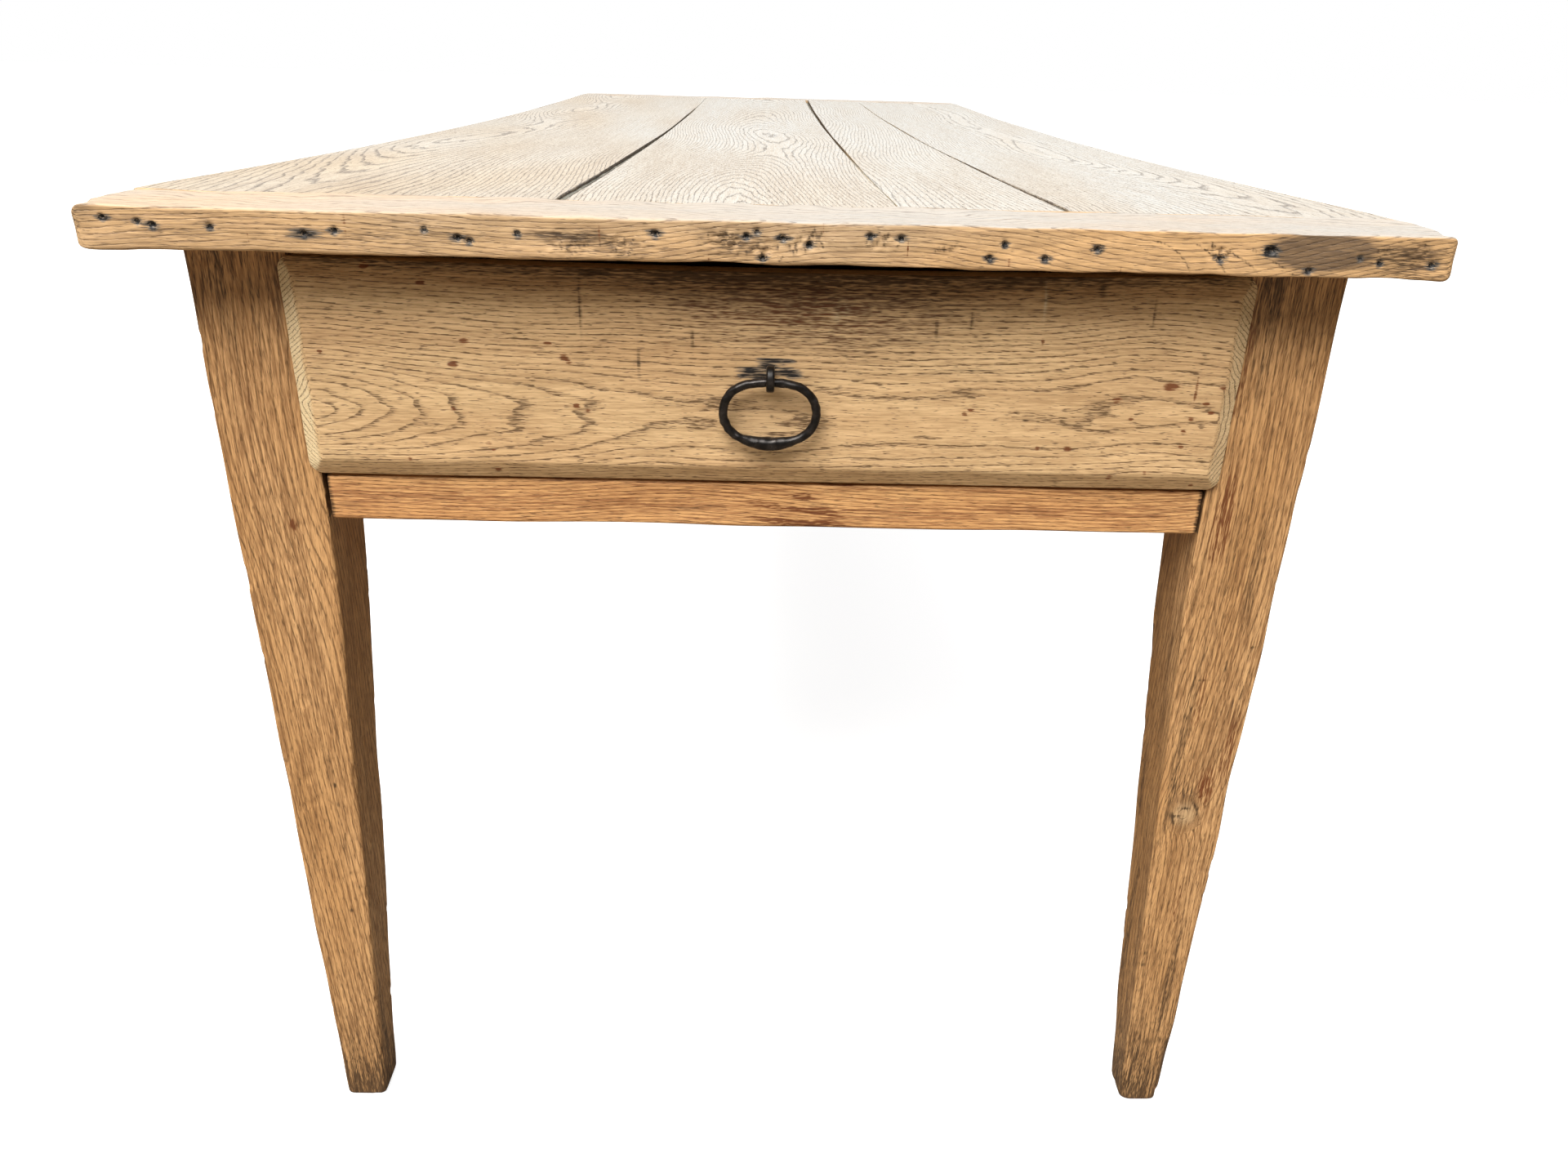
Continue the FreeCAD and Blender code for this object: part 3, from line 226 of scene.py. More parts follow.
def oak(name, grain, pale, gold, brown, pore, ring_mm=3.2, roughness=0.62, pith_mm=None, scrub_and_sheen="#DCC8A0",
        dashes=0.8, streak=0.7, rings=0.40):
    """Old, dry oak with its grain along one axis. It gives the eye dark dashes in year rings on a soft sheen.

    The year rings come from the piece's own growth attribute (m from the heart of the tree), or, on a CAD
    piece, from the distance to a line along the grain through pith_mm. Pores are 0.3 mm wide in real oak and
    are drawn twice as wide, because finer ones would not show in the picture. scrub_and_sheen is the colour
    that scrubbing and sun bring out, and on the top it also stands for painted sheen; dashes, streak and
    rings are how strongly pores, fibres and year rings show.
    Where end_cut is painted, the saw cut across the years and they show as bold lines.
    """
    material = bpy.data.materials.new(name)
    tree = bare_tree(material)
    along = "xyz".index(grain)

    def cells(along_mm, across_mm):
        """Mapping scale that makes one unit of noise that long and that wide."""
        scale = [1 / (across_mm * MM)] * 3
        scale[along] = 1 / (along_mm * MM)
        return scale

    place = node(tree, "ShaderNodeTexCoord", out="Object")
    noise = {}
    for use, size, detail in WOOD_NOISE:
        at = node(tree, "ShaderNodeMapping", {"Vector": place, "Scale": cells(*size)})
        noise[use] = node(tree, "ShaderNodeTexNoise", {"Vector": at, "Scale": 1.0, "Detail": detail})

    if pith_mm is None:
        growth = node(tree, "ShaderNodeAttribute", out="Fac", attribute_name="growth")
    else:
        across = [1.0] * 3
        across[along] = 0.0
        start = [-value * MM * keep for value, keep in zip(pith_mm, across)]
        log = node(tree, "ShaderNodeMapping", {"Vector": place, "Scale": across, "Location": start})
        growth = node(tree, "ShaderNodeVectorMath", {0: log}, out="Value", operation="LENGTH")
    years = node(tree, "ShaderNodeMath", {0: growth, 1: 1 / (ring_mm * MM), 2: noise["waver"]},
                 operation="MULTIPLY_ADD")
    season = node(tree, "ShaderNodeMath", {0: years}, operation="FRACT")
    spring = node(tree, "ShaderNodeMapRange", {0: season, 1: 0.0, 2: 0.30, 3: 1.0, 4: 0.0},
                  interpolation_type="SMOOTHSTEP")
    onset = node(tree, "ShaderNodeMapRange", {0: season, 1: 0.93, 2: 1.0}, interpolation_type="SMOOTHSTEP")
    early = node(tree, "ShaderNodeMath", {0: spring, 1: onset}, operation="MAXIMUM")
    crowd = node(tree, "ShaderNodeMath", {0: early, 1: 0.19, 2: noise["pore"]}, operation="MULTIPLY_ADD")
    pores = node(tree, "ShaderNodeMapRange", {0: crowd, 1: 0.61, 2: 0.75}, interpolation_type="SMOOTHSTEP")

    # tone: slow clouds and painted warmth, bands, fibres and flecks, then the darker spring wood
    cloud = node(tree, "ShaderNodeMapRange", {0: noise["cloud"], 1: 0.32, 2: 0.68})
    warmth = node(tree, "ShaderNodeAttribute", out="Fac", attribute_name="warmth")
    golden = node(tree, "ShaderNodeMath", {0: cloud, 1: warmth}, operation="ADD", use_clamp=True)
    warm = node(tree, "ShaderNodeMix", {0: golden, 6: srgb(pale), 7: srgb(gold)}, out=2, data_type="RGBA")
    bands = node(tree, "ShaderNodeMath", {0: noise["band"], 1: 0.5, 2: noise["fibre"]},
                 operation="MULTIPLY_ADD")
    streaks = node(tree, "ShaderNodeMath", {0: noise["fleck"], 1: 0.8, 2: bands}, operation="MULTIPLY_ADD")
    part_streaks = node(tree, "ShaderNodeMapRange", {0: streaks, 1: 0.97, 2: 1.37, 4: streak})
    fibred = node(tree, "ShaderNodeMix", {0: part_streaks, 6: warm, 7: srgb(brown)}, out=2, data_type="RGBA")
    end_cut = node(tree, "ShaderNodeAttribute", out="Fac", attribute_name="end_cut")
    ring_show = node(tree, "ShaderNodeMath", {0: end_cut, 1: 0.8, 2: rings}, operation="MULTIPLY_ADD")
    part_early = node(tree, "ShaderNodeMath", {0: early, 1: ring_show}, operation="MULTIPLY")
    ringed = node(tree, "ShaderNodeMix", {0: part_early, 6: fibred, 7: srgb(brown)}, out=2, data_type="RGBA")

    # sun, scrubbing and, on the top, painted sheen make the wood paler, less so its fibres and not the pores
    bleach = node(tree, "ShaderNodeAttribute", out="Fac", attribute_name="bleach")
    taken = node(tree, "ShaderNodeMath", {0: part_streaks, 1: -0.5, 2: 1.0}, operation="MULTIPLY_ADD")
    part_bleach = node(tree, "ShaderNodeMath", {0: bleach, 1: taken}, operation="MULTIPLY")
    scrubbed_and_sheen = node(tree, "ShaderNodeMix", {0: part_bleach, 6: ringed, 7: srgb(scrub_and_sheen)}, out=2,
                    data_type="RGBA")
    part_pores = node(tree, "ShaderNodeMath", {0: pores, 1: dashes}, operation="MULTIPLY")
    part_lines = node(tree, "ShaderNodeMath", {0: part_early, 1: 0.4}, operation="MULTIPLY")
    lined = node(tree, "ShaderNodeMath", {0: part_pores, 1: part_lines}, operation="MAXIMUM")
    tone = node(tree, "ShaderNodeMix", {0: lined, 6: scrubbed_and_sheen, 7: srgb(pore)}, out=2, data_type="RGBA")

    # marks are torn along the grain and feather, a stain only slightly; ink is grey round a black core
    coarse = node(tree, "ShaderNodeMath", {0: noise["pore"], 1: noise["fibre"]}, operation="ADD")
    ragged = node(tree, "ShaderNodeMapRange", {0: coarse, 1: 0.8, 2: 1.2, 3: 0.45, 4: 1.45})
    slight = node(tree, "ShaderNodeMapRange", {0: coarse, 1: 0.8, 2: 1.2, 3: 0.8, 4: 1.2})
    for mark, colour, start, full, most in WOOD_MARKS:
        amount = node(tree, "ShaderNodeAttribute", out="Fac", attribute_name=mark)
        tear = slight if mark == "stain" else ragged
        torn = node(tree, "ShaderNodeMath", {0: tear, 1: amount}, operation="MULTIPLY")
        covered = node(tree, "ShaderNodeMapRange", {0: torn, 1: start, 2: full, 4: most},
                       interpolation_type="SMOOTHSTEP")
        tone = node(tree, "ShaderNodeMix", {0: covered, 6: tone, 7: srgb(colour)}, out=2, data_type="RGBA")

    # relief: pores are pits, spring wood is worn a little lower, and fibres stand proud of the rest
    low = node(tree, "ShaderNodeMath", {0: pores, 1: -1.0, 2: noise["fibre"]}, operation="MULTIPLY_ADD")
    relief = node(tree, "ShaderNodeMath", {0: early, 1: -0.5, 2: low}, operation="MULTIPLY_ADD")
    bump = node(tree, "ShaderNodeBump", {"Height": relief, "Strength": 0.55, "Distance": 0.35 * MM},
                out="Normal")
    matt = node(tree, "ShaderNodeMapRange", {0: noise["fibre"], 3: roughness - 0.1, 4: roughness + 0.14})
    shader = node(tree, "ShaderNodeBsdfPrincipled", {"Base Color": tone, "Roughness": matt, "Normal": bump,
                                                     "IOR": 1.45, "Specular IOR Level": 0.4})
    node(tree, "ShaderNodeOutputMaterial", {"Surface": shader})
    return material


# %% [markdown]
# ## How the wooden pieces are shaped
# Every visible board, rail and leg is a stick: a rectangle with rounded corners, carried along one axis,
# whose size and corners may change on the way. Old oak has no sharp arris left, so the corner radius
# wanders a little, and the faces are slightly wavy. Bevelled boxes would be quicker but give the same edge
# everywhere.


# %% Smooth noise, sections and sticks
def ripple(points, size, seed, waves=12):
    """Smooth noise of about unit strength: sine waves with seeded directions and phases, added up.

    size is the length of a typical wave in metres, one number or one for each axis.
    """
    chance = np.random.default_rng(seed)
    way = chance.normal(size=(3, waves))
    way *= 2 * np.pi * chance.uniform(0.6, 1.5, waves) / np.linalg.norm(way, axis=0)
    start = chance.uniform(0, 2 * np.pi, waves)
    return np.sin((points / np.asarray(size)) @ way + start).sum(axis=-1) * math.sqrt(2 / waves)


def drift(places, size, seed, apart=0):
    """Ripple along a line: the noise at (place, apart, 0) for each place."""
    return ripple(np.column_stack([places, places * 0 + apart, places * 0]), size, seed)


def section(low, right, high, left, arc=5, crowd=0.0):
    """Columns of a rounded rectangle, anticlockwise from the low side, with so many points on each side.

    A column is (side a, side b, normal a, normal b); its point is side * (half - radius) + normal * radius.
    crowd moves points from the middle of a side towards its ends, along a sine.
    """
    columns = []
    for quarter, count in enumerate((low, right, high, left)):
        facing = (quarter - 1) * np.pi / 2
        normal = np.round([math.cos(facing), math.sin(facing)])
        even = np.linspace(-1, 1, count)
        spread = (1 - crowd) * even + crowd * np.sin(even * np.pi / 2)
        walk = spread[:, None] * np.array([-normal[1], normal[0]])
        columns.append(np.hstack([walk + normal, np.tile(normal, (count, 1))]))
        bend = facing + np.linspace(0, np.pi / 2, arc + 1)[1:-1, None]
        corner = normal + np.array([-normal[1], normal[0]])
        columns.append(np.hstack([np.tile(corner, (arc - 1, 1)), np.cos(bend), np.sin(bend)]))
    return np.vstack(columns)


# how many rings round off and then close a stick's end, and how small the last one is
END_STEPS, LEAST_RING = 5, 0.1


def stick(columns, places, shape, end_arris, axis):
    """Rings of a stick along an axis, and its unit normals across it, which are zero on its closed ends.

    shape(s) gives centre a, centre b, half a, half b and corner radius at place s. Near each end the rings
    follow a quarter circle of end_arris, and then shrink to the middle to close the end.
    """
    bend = np.linspace(0, np.pi / 2, END_STEPS)
    close = np.linspace(1, LEAST_RING, END_STEPS)[1:]
    first, last = places[0], places[-1]
    inner = places[(places > first + end_arris) & (places < last - end_arris)]
    round_in = end_arris * (1 - np.sin(bend))
    at = np.concatenate([np.full(close.size, first), first + round_in[::-1], inner, last - round_in,
                         np.full(close.size, last)])
    inset = np.zeros(at.size)
    turned = end_arris * (1 - np.cos(bend))
    inset[:close.size] = inset[-close.size:] = end_arris
    inset[close.size:close.size + bend.size] = turned[::-1]
    inset[-close.size - bend.size:-close.size] = turned
    shrink = np.ones(at.size)
    shrink[:close.size] = close[::-1]
    shrink[-close.size:] = close
    centre_a, centre_b, half_a, half_b, radius = (np.broadcast_to(value, at.shape) for value in shape(at))
    half_a, half_b = (half_a - inset) * shrink, (half_b - inset) * shrink
    radius = np.minimum(radius * shrink, 0.9 * np.minimum(half_a, half_b))
    side_a, side_b, normal_a, normal_b = columns.T
    flat_a = centre_a[:, None] + np.outer(half_a - radius, side_a) + np.outer(radius, normal_a)
    flat_b = centre_b[:, None] + np.outer(half_b - radius, side_b) + np.outer(radius, normal_b)
    order = [(axis + 1) % 3, (axis + 2) % 3, axis]
    rings = np.empty((at.size, side_a.size, 3))
    rings[..., order] = np.stack([flat_a, flat_b, np.broadcast_to(at[:, None], flat_a.shape)], axis=-1)
    normals = np.zeros_like(rings)
    normals[..., order[0]] = np.outer(shrink == 1, normal_a)
    normals[..., order[1]] = np.outer(shrink == 1, normal_b)
    return rings, normals


# %% Meshes and what is painted on them
def skin(name, rings, body, stands_for, material, looped=False):
    """A closed mesh over rings of points: quads between neighbouring rings, and a fan to a pole at each end.

    A looped surface joins its last ring to its first instead. Returns the object and its points.
    """
    rows, columns, _ = rings.shape
    here = np.arange(rows * columns).reshape(rows, columns)
    beside = np.roll(here, -1, axis=1)
    points = rings.reshape(-1, 3)
    if looped:
        after, after_beside = np.roll(here, -1, axis=0), np.roll(beside, -1, axis=0)
        quads = np.stack([here, beside, after_beside, after], axis=-1).reshape(-1, 4)
        fans = np.empty((0, 3), int)
    else:
        quads = np.stack([here[:-1], beside[:-1], beside[1:], here[1:]], axis=-1).reshape(-1, 4)
        poles = np.full(columns, rows * columns)
        fans = np.vstack([np.column_stack([beside[0], here[0], poles]),
                          np.column_stack([here[-1], beside[-1], poles + 1])])
        points = np.vstack([points, rings[0].mean(axis=0), rings[-1].mean(axis=0)])
    corners = np.concatenate([quads.ravel(), fans.ravel()])
    starts = np.concatenate([np.arange(len(quads)) * 4, len(quads) * 4 + np.arange(len(fans)) * 3])
    mesh = bpy.data.meshes.new(name)
    mesh.vertices.add(len(points))
    mesh.vertices.foreach_set("co", points.ravel())
    mesh.loops.add(corners.size)
    mesh.loops.foreach_set("vertex_index", corners)
    mesh.polygons.add(starts.size)
    mesh.polygons.foreach_set("loop_start", starts)
    mesh.update(calc_edges=True)
    mesh.shade_smooth()
    mesh.materials.append(material)
    piece = bpy.data.objects.new(name, mesh)
    bpy.context.collection.objects.link(piece)
    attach(piece, body)
    if stands_for:
        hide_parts(*stands_for)
    print(f"{name}: {len(quads) * 2 + len(fans)} triangles")
    return piece, points


def paint(piece, **fields):
    """Stores each field, one number for each point, as an attribute that the finishes read."""
    for name, values in fields.items():
        layer = piece.data.attributes.new(name, "FLOAT", "POINT")
        layer.data.foreach_set("value", np.ascontiguousarray(values, dtype=np.float32))


def facing(piece):
    """The unit normals of a piece's points."""
    normals = np.empty(len(piece.data.vertices) * 3, np.float32)
    piece.data.vertex_normals.foreach_get("vector", normals)
    return normals.reshape(-1, 3)


def smooth(value, low, high):
    """0 below low, 1 above high, and a soft S between."""
    step = np.clip((value - low) / (high - low), 0, 1)
    return step * step * (3 - 2 * step)


def blots(a, b, marks):
    """The strongest of many soft oval marks at each point: exp of minus the squared distance in half sizes.

    A mark is (middle a, middle b, half size a, half size b, strength), in metres.
    """
    middle_a, middle_b, half_a, half_b, strength = np.asarray(marks).T
    away = ((a[:, None] - middle_a) / half_a) ** 2 + ((b[:, None] - middle_b) / half_b) ** 2
    return (strength * np.exp(-away)).max(axis=1)


# %% [markdown]
# ## The boards of the top
# Four wide boards run the length of the table. They have sagged 8 mm between the legs, each is slightly
# cupped, and the seams have opened: one at the drawer end, one at the far end and one for half its length.
# Each board is a stick along Y whose left and right edges follow the seams. The year rings are worked out
# from a tree heart that wanders under the board, which gives the pointed arches of flat-sawn oak where it
# comes near.

# %% The sagging top and its seams
top_low, top_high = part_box("breadboard_end_front")
BOARD_THICK = top_high.z - top_low.z
TOP = top_high.z
TOP_WIDE = top_high.x - top_low.x
BOARD_END = abs(top_high.y)
LEG_INNER_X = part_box("leg_front_right")[0].x
LEG_INNER_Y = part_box("leg_back_right")[0].y
SAG = top_low.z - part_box("top_board_1")[0].z
# seams: x, and how wide they are at the drawer end and at the far end
SEAMS_MM = ((-135, 7.0, 0.8), (79, 0.8, 7.0), (189, 4.5, 0.8))
# a seam starts to look open at the first width and is wide open at the second
GAPING = 1.5 * MM, 4 * MM
print(f"the top sags {SAG / MM:.1f} mm between legs that stand {2 * LEG_INNER_Y:.2f} m apart")


def dip(y):
    """How far the top hangs below its ends: an arc of a circle between the legs, level beyond them."""
    radius = (LEG_INNER_Y ** 2 + SAG ** 2) / (2 * SAG)
    arc = radius - SAG - np.sqrt(np.maximum(radius ** 2 - y ** 2, 0))
    return np.where(np.abs(y) < LEG_INNER_Y, arc, 0.0)


def seam_edge(number, side):
    """x of a board's edge along seam number, on its left (-1) or right (1) side, as a function of y."""
    def edge(y):
        if number < 0 or number >= len(SEAMS_MM):
            return np.full(np.shape(y), -TOP_WIDE / 2 if number < 0 else TOP_WIDE / 2)
        middle, near, far = SEAMS_MM[number]
        share = np.clip((y + BOARD_END) / (2 * BOARD_END), 0, 1)
        return (middle + side * (near + (far - near) * share) / 2) * MM
    return edge


def seam_gap(number, y):
    """How wide seam number is at y; the outer edges of the top count as seams of no width."""
    return seam_edge(number, 1)(y) - seam_edge(number, -1)(y)


# %% Boards
# the top's near-white scrubbed tone is partly bleached wood and partly painted sheen of the bright sky
scrubbed_oak = oak("oak_scrubbed_top", "y", "#B9A27C", "#A88D63", "#7F674A", "#4A3E30", roughness=0.5,
                   scrub_and_sheen="#B2B2AE", rings=0.75)
# heart of each board's tree: its x, its depth at the drawer end and far beyond (mm), and the run between (m)
HEARTS = ((-330, 108, 70, 1.4), (-8, 14, 120, 1.2), (20, 118, 90, 1.2), (330, 87, 40, 1.4))
CUPPED_MM = 0.7
BOARD_ARRIS = 0.8 * MM
lengthwise = np.linspace(-BOARD_END, BOARD_END, 190)
for number, (heart_x, near, far, run) in enumerate(HEARTS):
    left, right = seam_edge(number - 1, 1), seam_edge(number, -1)

    def board_shape(y):
        wander = 0.45 * MM + 0.1 * MM * drift(y, 0.35, 20 + number)
        return (TOP - BOARD_THICK / 2 + dip(y), (left(y) + right(y)) / 2, BOARD_THICK / 2,
                (right(y) - left(y)) / 2, wander)

    rings, normals = stick(section(8, 40, 8, 12, crowd=0.9), lengthwise, board_shape, BOARD_ARRIS, 1)
    wide = (right(rings[..., 1]) - left(rings[..., 1])) / 2
    cup = 1 - ((rings[..., 0] - (left(rings[..., 1]) + right(rings[..., 1])) / 2) / wide) ** 2
    wave = 0.35 * ripple(rings, (0.09, 0.5, 0.3), 40 + number) - CUPPED_MM * cup - 0.3
    rings[..., 2] += normals[..., 2] * wave * MM
    name = f"top_board_{number + 1}"
    board, points = skin(f"{name}_worn", rings, "table", [name], scrubbed_oak)
    x, y, z = points.T
    heart = heart_x * MM + 0.012 * drift(y, 0.9, 60 + number, apart=number)
    depth = (far + (near - far) * np.exp(-(y + BOARD_END) / run)) * MM
    deep = TOP - depth + 0.006 * smooth(y, -1.0, -0.4) * drift(y, 0.7, 80 + number, apart=number)
    up = smooth(facing(board)[:, 2], 0.3, 0.9)
    to_left, to_right = np.abs(x - left(y)), np.abs(x - right(y))
    seam_near = np.minimum(to_left if number > 0 else 1, to_right if number < len(SEAMS_MM) else 1)
    gap = np.where(to_left < to_right, seam_gap(number - 1, y), seam_gap(number, y))
    in_seam = (1 - up) * (seam_near < 4 * MM) + 0.2 * np.exp(-seam_near / (1.2 * MM))
    patch = ripple(points, (0.12, 0.5, 0.3), 100 + number)
    # paler to the right and towards the far end: partly bleaching by sun, partly painted sheen where the top
    # gleams
    top_paling_and_sheen = 0.44 + 0.08 * patch + 0.40 * smooth(x, -0.4, 0.2) + 0.24 * smooth(y, -0.95, -0.1)
    paint(board, growth=np.hypot(x - heart, z - deep), bleach=up * np.clip(top_paling_and_sheen, 0, 1),
          rust=0.16 * up * smooth(ripple(points, (0.16, 0.45, 0.3), 120 + number), 0.2, 2.0),
          grime=smooth(gap, *GAPING) * np.clip(in_seam, 0, 1) + 0.10 * up * smooth(-y, 0.6, 0.95))


# %% Dirt in the seams
def packed_dirt(name, pale, dark):
    """Dust packed in a seam: matt and grainy, so that the seam shows as a grey line and not a black one."""
    material = bpy.data.materials.new(name)
    tree = bare_tree(material)
    place = node(tree, "ShaderNodeTexCoord", out="Object")
    crumb = node(tree, "ShaderNodeTexNoise", {"Vector": place, "Scale": 1 / (2.2 * MM), "Detail": 3.0})
    grains = node(tree, "ShaderNodeMapRange", {0: crumb, 1: 0.36, 2: 0.66})
    colour = node(tree, "ShaderNodeMix", {0: grains, 6: srgb(dark), 7: srgb(pale)}, out=2, data_type="RGBA")
    bump = node(tree, "ShaderNodeBump", {"Height": crumb, "Strength": 0.8, "Distance": 0.8 * MM},
                out="Normal")
    shader = node(tree, "ShaderNodeBsdfPrincipled", {"Base Color": colour, "Roughness": 0.95, "Normal": bump})
    node(tree, "ShaderNodeOutputMaterial", {"Surface": shader})
    return material


seam_dirt = packed_dirt("dust_packed_in_seams", "#8E8C80", "#47473F")
SPLINE_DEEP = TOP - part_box("top_spline_1")[1].z
# how deep the dirt lies where its seam is wide; where the seam is a hairline it is packed almost flush
DIRT_DEEP_MM = (3.0, 6.0, 2.0)
DIRT_FLUSH_MM = 0.9
DIRT_ARRIS = 0.1 * MM
for number, deep_mm in enumerate(DIRT_DEEP_MM):
    left, right = seam_edge(number, -1), seam_edge(number, 1)

    def dirt_shape(y):
        deep = (DIRT_FLUSH_MM + (deep_mm - DIRT_FLUSH_MM) * smooth(seam_gap(number, y), *GAPING)) * MM
        level = TOP - (SPLINE_DEEP + deep) / 2 + dip(y)
        return level, (left(y) + right(y)) / 2, (SPLINE_DEEP - deep) / 2, seam_gap(number, y) / 2, DIRT_ARRIS

    rings, normals = stick(section(3, 3, 3, 3, arc=2), lengthwise, dirt_shape, DIRT_ARRIS, 1)
    rings[..., 2] += 0.25 * MM * ripple(rings, (0.02, 0.02, 0.02), 140 + number) * (normals[..., 2] > 0.5)
    skin(f"seam_dirt_{number + 1}", rings, "table", [], seam_dirt)

# %% [markdown]
# ## The breadboard ends
# A board across each end keeps the top flat. Its outer edge is the most handled place on the table: the
# arris is rubbed round, and iron nails driven in over the years have left small holes with blue-black ovals
# round them, where iron and the tannin in oak made ink. The front one is a stick along X on a grid of about
# a millimetre, so that the nail holes and bruises can be pressed into it.

# %% Marks on the front edge
# each mark: pixel across, pixel down, half width and half height in mm, strength
NAIL_STAINS = (
    (124, 266, 5, 2.5, 0.9), (167, 271, 4, 2, 0.8), (186, 275, 6, 2.5, 1.0), (256, 277, 4, 2, 0.8),
    (372, 286, 10, 3, 1.0), (409, 282, 5, 2.2, 0.9), (519, 281, 3, 1.6, 0.7), (560, 291, 6, 2.5, 1.0),
    (574, 295, 4, 2, 0.9), (633, 286, 3, 1.6, 0.7), (802, 286, 6, 2.6, 1.0), (914, 289, 5, 2.4, 1.0),
    (927, 283, 4, 2, 0.8), (934, 316, 5, 2.2, 0.9), (959, 292, 6, 2.6, 1.0), (991, 300, 5, 2.4, 0.9),
    (1066, 289, 4, 2, 0.9), (1104, 292, 5, 2.2, 0.9), (1212, 316, 5, 2.4, 0.9), (1231, 299, 4, 2, 0.8),
    (1280, 317, 5, 2.2, 0.9), (1345, 305, 5, 2.6, 0.9), (1495, 317, 5, 2.2, 0.9), (1555, 307, 3, 2.6, 1.0),
    (1603, 332, 5, 2.2, 0.9), (1666, 316, 2, 1.2, 0.5), (1690, 322, 4, 2, 0.8), (1754, 325, 5, 2.4, 0.9))
# one hole was bored, not nailed
BORED = ((1557, 307, 2.7, 1.9, 1.6),)
# stretches where the edge is bruised
BRUISES = (
    (690, 302, 9, 6, 0.8), (712, 297, 8, 5, 0.7), (757, 300, 12, 6, 0.8), (884, 292, 9, 6, 0.9),
    (905, 300, 7, 6, 0.8), (935, 305, 10, 6, 0.8), (978, 300, 13, 6, 0.8), (995, 292, 7, 4, 0.8),
    (1080, 296, 9, 4, 0.8), (1160, 305, 8, 3, 0.6), (1495, 310, 7, 5, 0.8), (1345, 306, 4, 2, 0.8),
    (1738, 315, 5, 7, 0.7), (1694, 309, 4, 1.5, 0.7))
# dark stains, and broad stretches that are only dirty
STAINED = ((1622, 309, 28, 9.5, 2.2), (1700, 314, 34, 11, 0.6), (95, 255, 12, 5, 0.5), (690, 290, 26, 4, 0.5))
SHADES = (
    (1735, 322, 27, 13, 0.6), (210, 275, 90, 16, 0.3), (700, 288, 28, 4, 0.7), (480, 286, 60, 9, 0.44),
    (760, 305, 40, 9, 0.42), (895, 300, 20, 10, 0.55), (620, 320, 60, 4, 0.35), (84, 266, 7, 14, 0.5))
# small upright cuts with rust in them
CUTS = (
    (421, 275, 0.6, 9, 0.8), (733, 285, 0.6, 8, 0.7), (1112, 305, 0.6, 5, 0.7), (1236, 322, 0.6, 5, 0.7),
    (303, 290, 0.6, 4, 0.6), (868, 318, 0.6, 5, 0.6), (1008, 280, 0.6, 4, 0.6), (1372, 332, 0.6, 4, 0.6))
# rows of small pricks that slant across the edge, each as the pixels where it starts, bends and ends
PRICKED_ROWS = (
    ((1418, 297), (1446, 303), (1457, 332)), ((1466, 300), (1490, 312), (1500, 333)),
    ((1497, 306), (1520, 312), (1540, 334)), ((1535, 306), (1560, 320), (1583, 336)))
PRICKS_IN_ROW = 15
PRICK = 0.9 * MM, 0.8 * MM, 0.75
# a dash in a bruise: how far its dots are apart, and their half sizes
DASH_STEP, DASH_DOT = 1.1 * MM, (0.8 * MM, 0.9 * MM)

edge_face = top_low.y
nailed = seen_marks(NAIL_STAINS, edge_face)
bruises = seen_marks(BRUISES, edge_face)
# a nail hole is 1.4 mm in half size; its ink is wider than the hole and has run down a little
HOLE_HALF, HOLE_DEEP_MM, HOLE_STRENGTH = 1.4 * MM, 2.2, 1.3
HOLE_INK, INK_RUN, STAIN_INK = 1.7, 0.6 * MM, 0.85
holes = np.vstack([nailed * [1, 1, 0, 0, HOLE_STRENGTH] + [0, 0, HOLE_HALF, HOLE_HALF, 0],
                   seen_marks(BORED, edge_face)])
# a row of pricks is a curve from its start, drawn towards its bend, to its end
begin, bend, end = np.array(PRICKED_ROWS, float).swapaxes(0, 1)[:, :, None]
share = np.linspace(0, 1, PRICKS_IN_ROW)[:, None]
row_pixels = ((1 - share) ** 2 * begin + 2 * share * (1 - share) * bend + share ** 2 * end).reshape(-1, 2)
pricks = np.column_stack([seen_on(row_pixels, edge_face)[:, [0, 2]], np.tile(PRICK, (len(row_pixels), 1))])
print(len(holes), "holes and", len(pricks), "pricks in the front edge")


def dashes_in(patches, count, seed):
    """Dots of short slanting dashes scattered in oval patches: three dots in a line at each seeded middle."""
    chance = np.random.default_rng(seed)
    middle = patches[:, None, :2] + chance.normal(size=(len(patches), count, 2)) * 0.5 * patches[:, None, 2:4]
    lean = np.stack([chance.uniform(-0.4, 1.2, middle.shape[:2]), np.ones(middle.shape[:2])], axis=-1)
    dots = middle[:, :, None] + np.array([-1, 0, 1])[:, None] * DASH_STEP * lean[:, :, None]
    half = np.broadcast_to(DASH_DOT, dots.shape)
    strength = np.broadcast_to(patches[:, None, None, 4:], dots.shape[:3] + (1,))
    return np.concatenate([dots, half, strength], axis=-1).reshape(-1, 5)


# %% Breadboard ends
edge_oak = oak("oak_breadboard_end", "x", "#B9A283", "#D1AA7A", "#8B6E51", "#453324", ring_mm=2.6,
               roughness=0.52, scrub_and_sheen="#A6A39D", streak=0.5, dashes=0.5, rings=0.3)
BREAD_WIDE = top_high.y - top_low.y
BREAD_ARRIS = 0.3 * MM
NEAR_CORNER_MM, FAR_CORNER_MM = 8, 35
# where the heart of each end board's tree lies, in y and z
FRONT_HEART, BACK_HEART = (-0.93, 0.60), (0.90, 0.62)


def fall_off(x, end, radius):
    """How far a quarter circle that stops at end has fallen: radius - sqrt(radius squared - past squared)."""
    past = np.clip(np.abs(x) - (end - radius), 0, radius)
    return radius - np.sqrt(radius ** 2 - past ** 2)


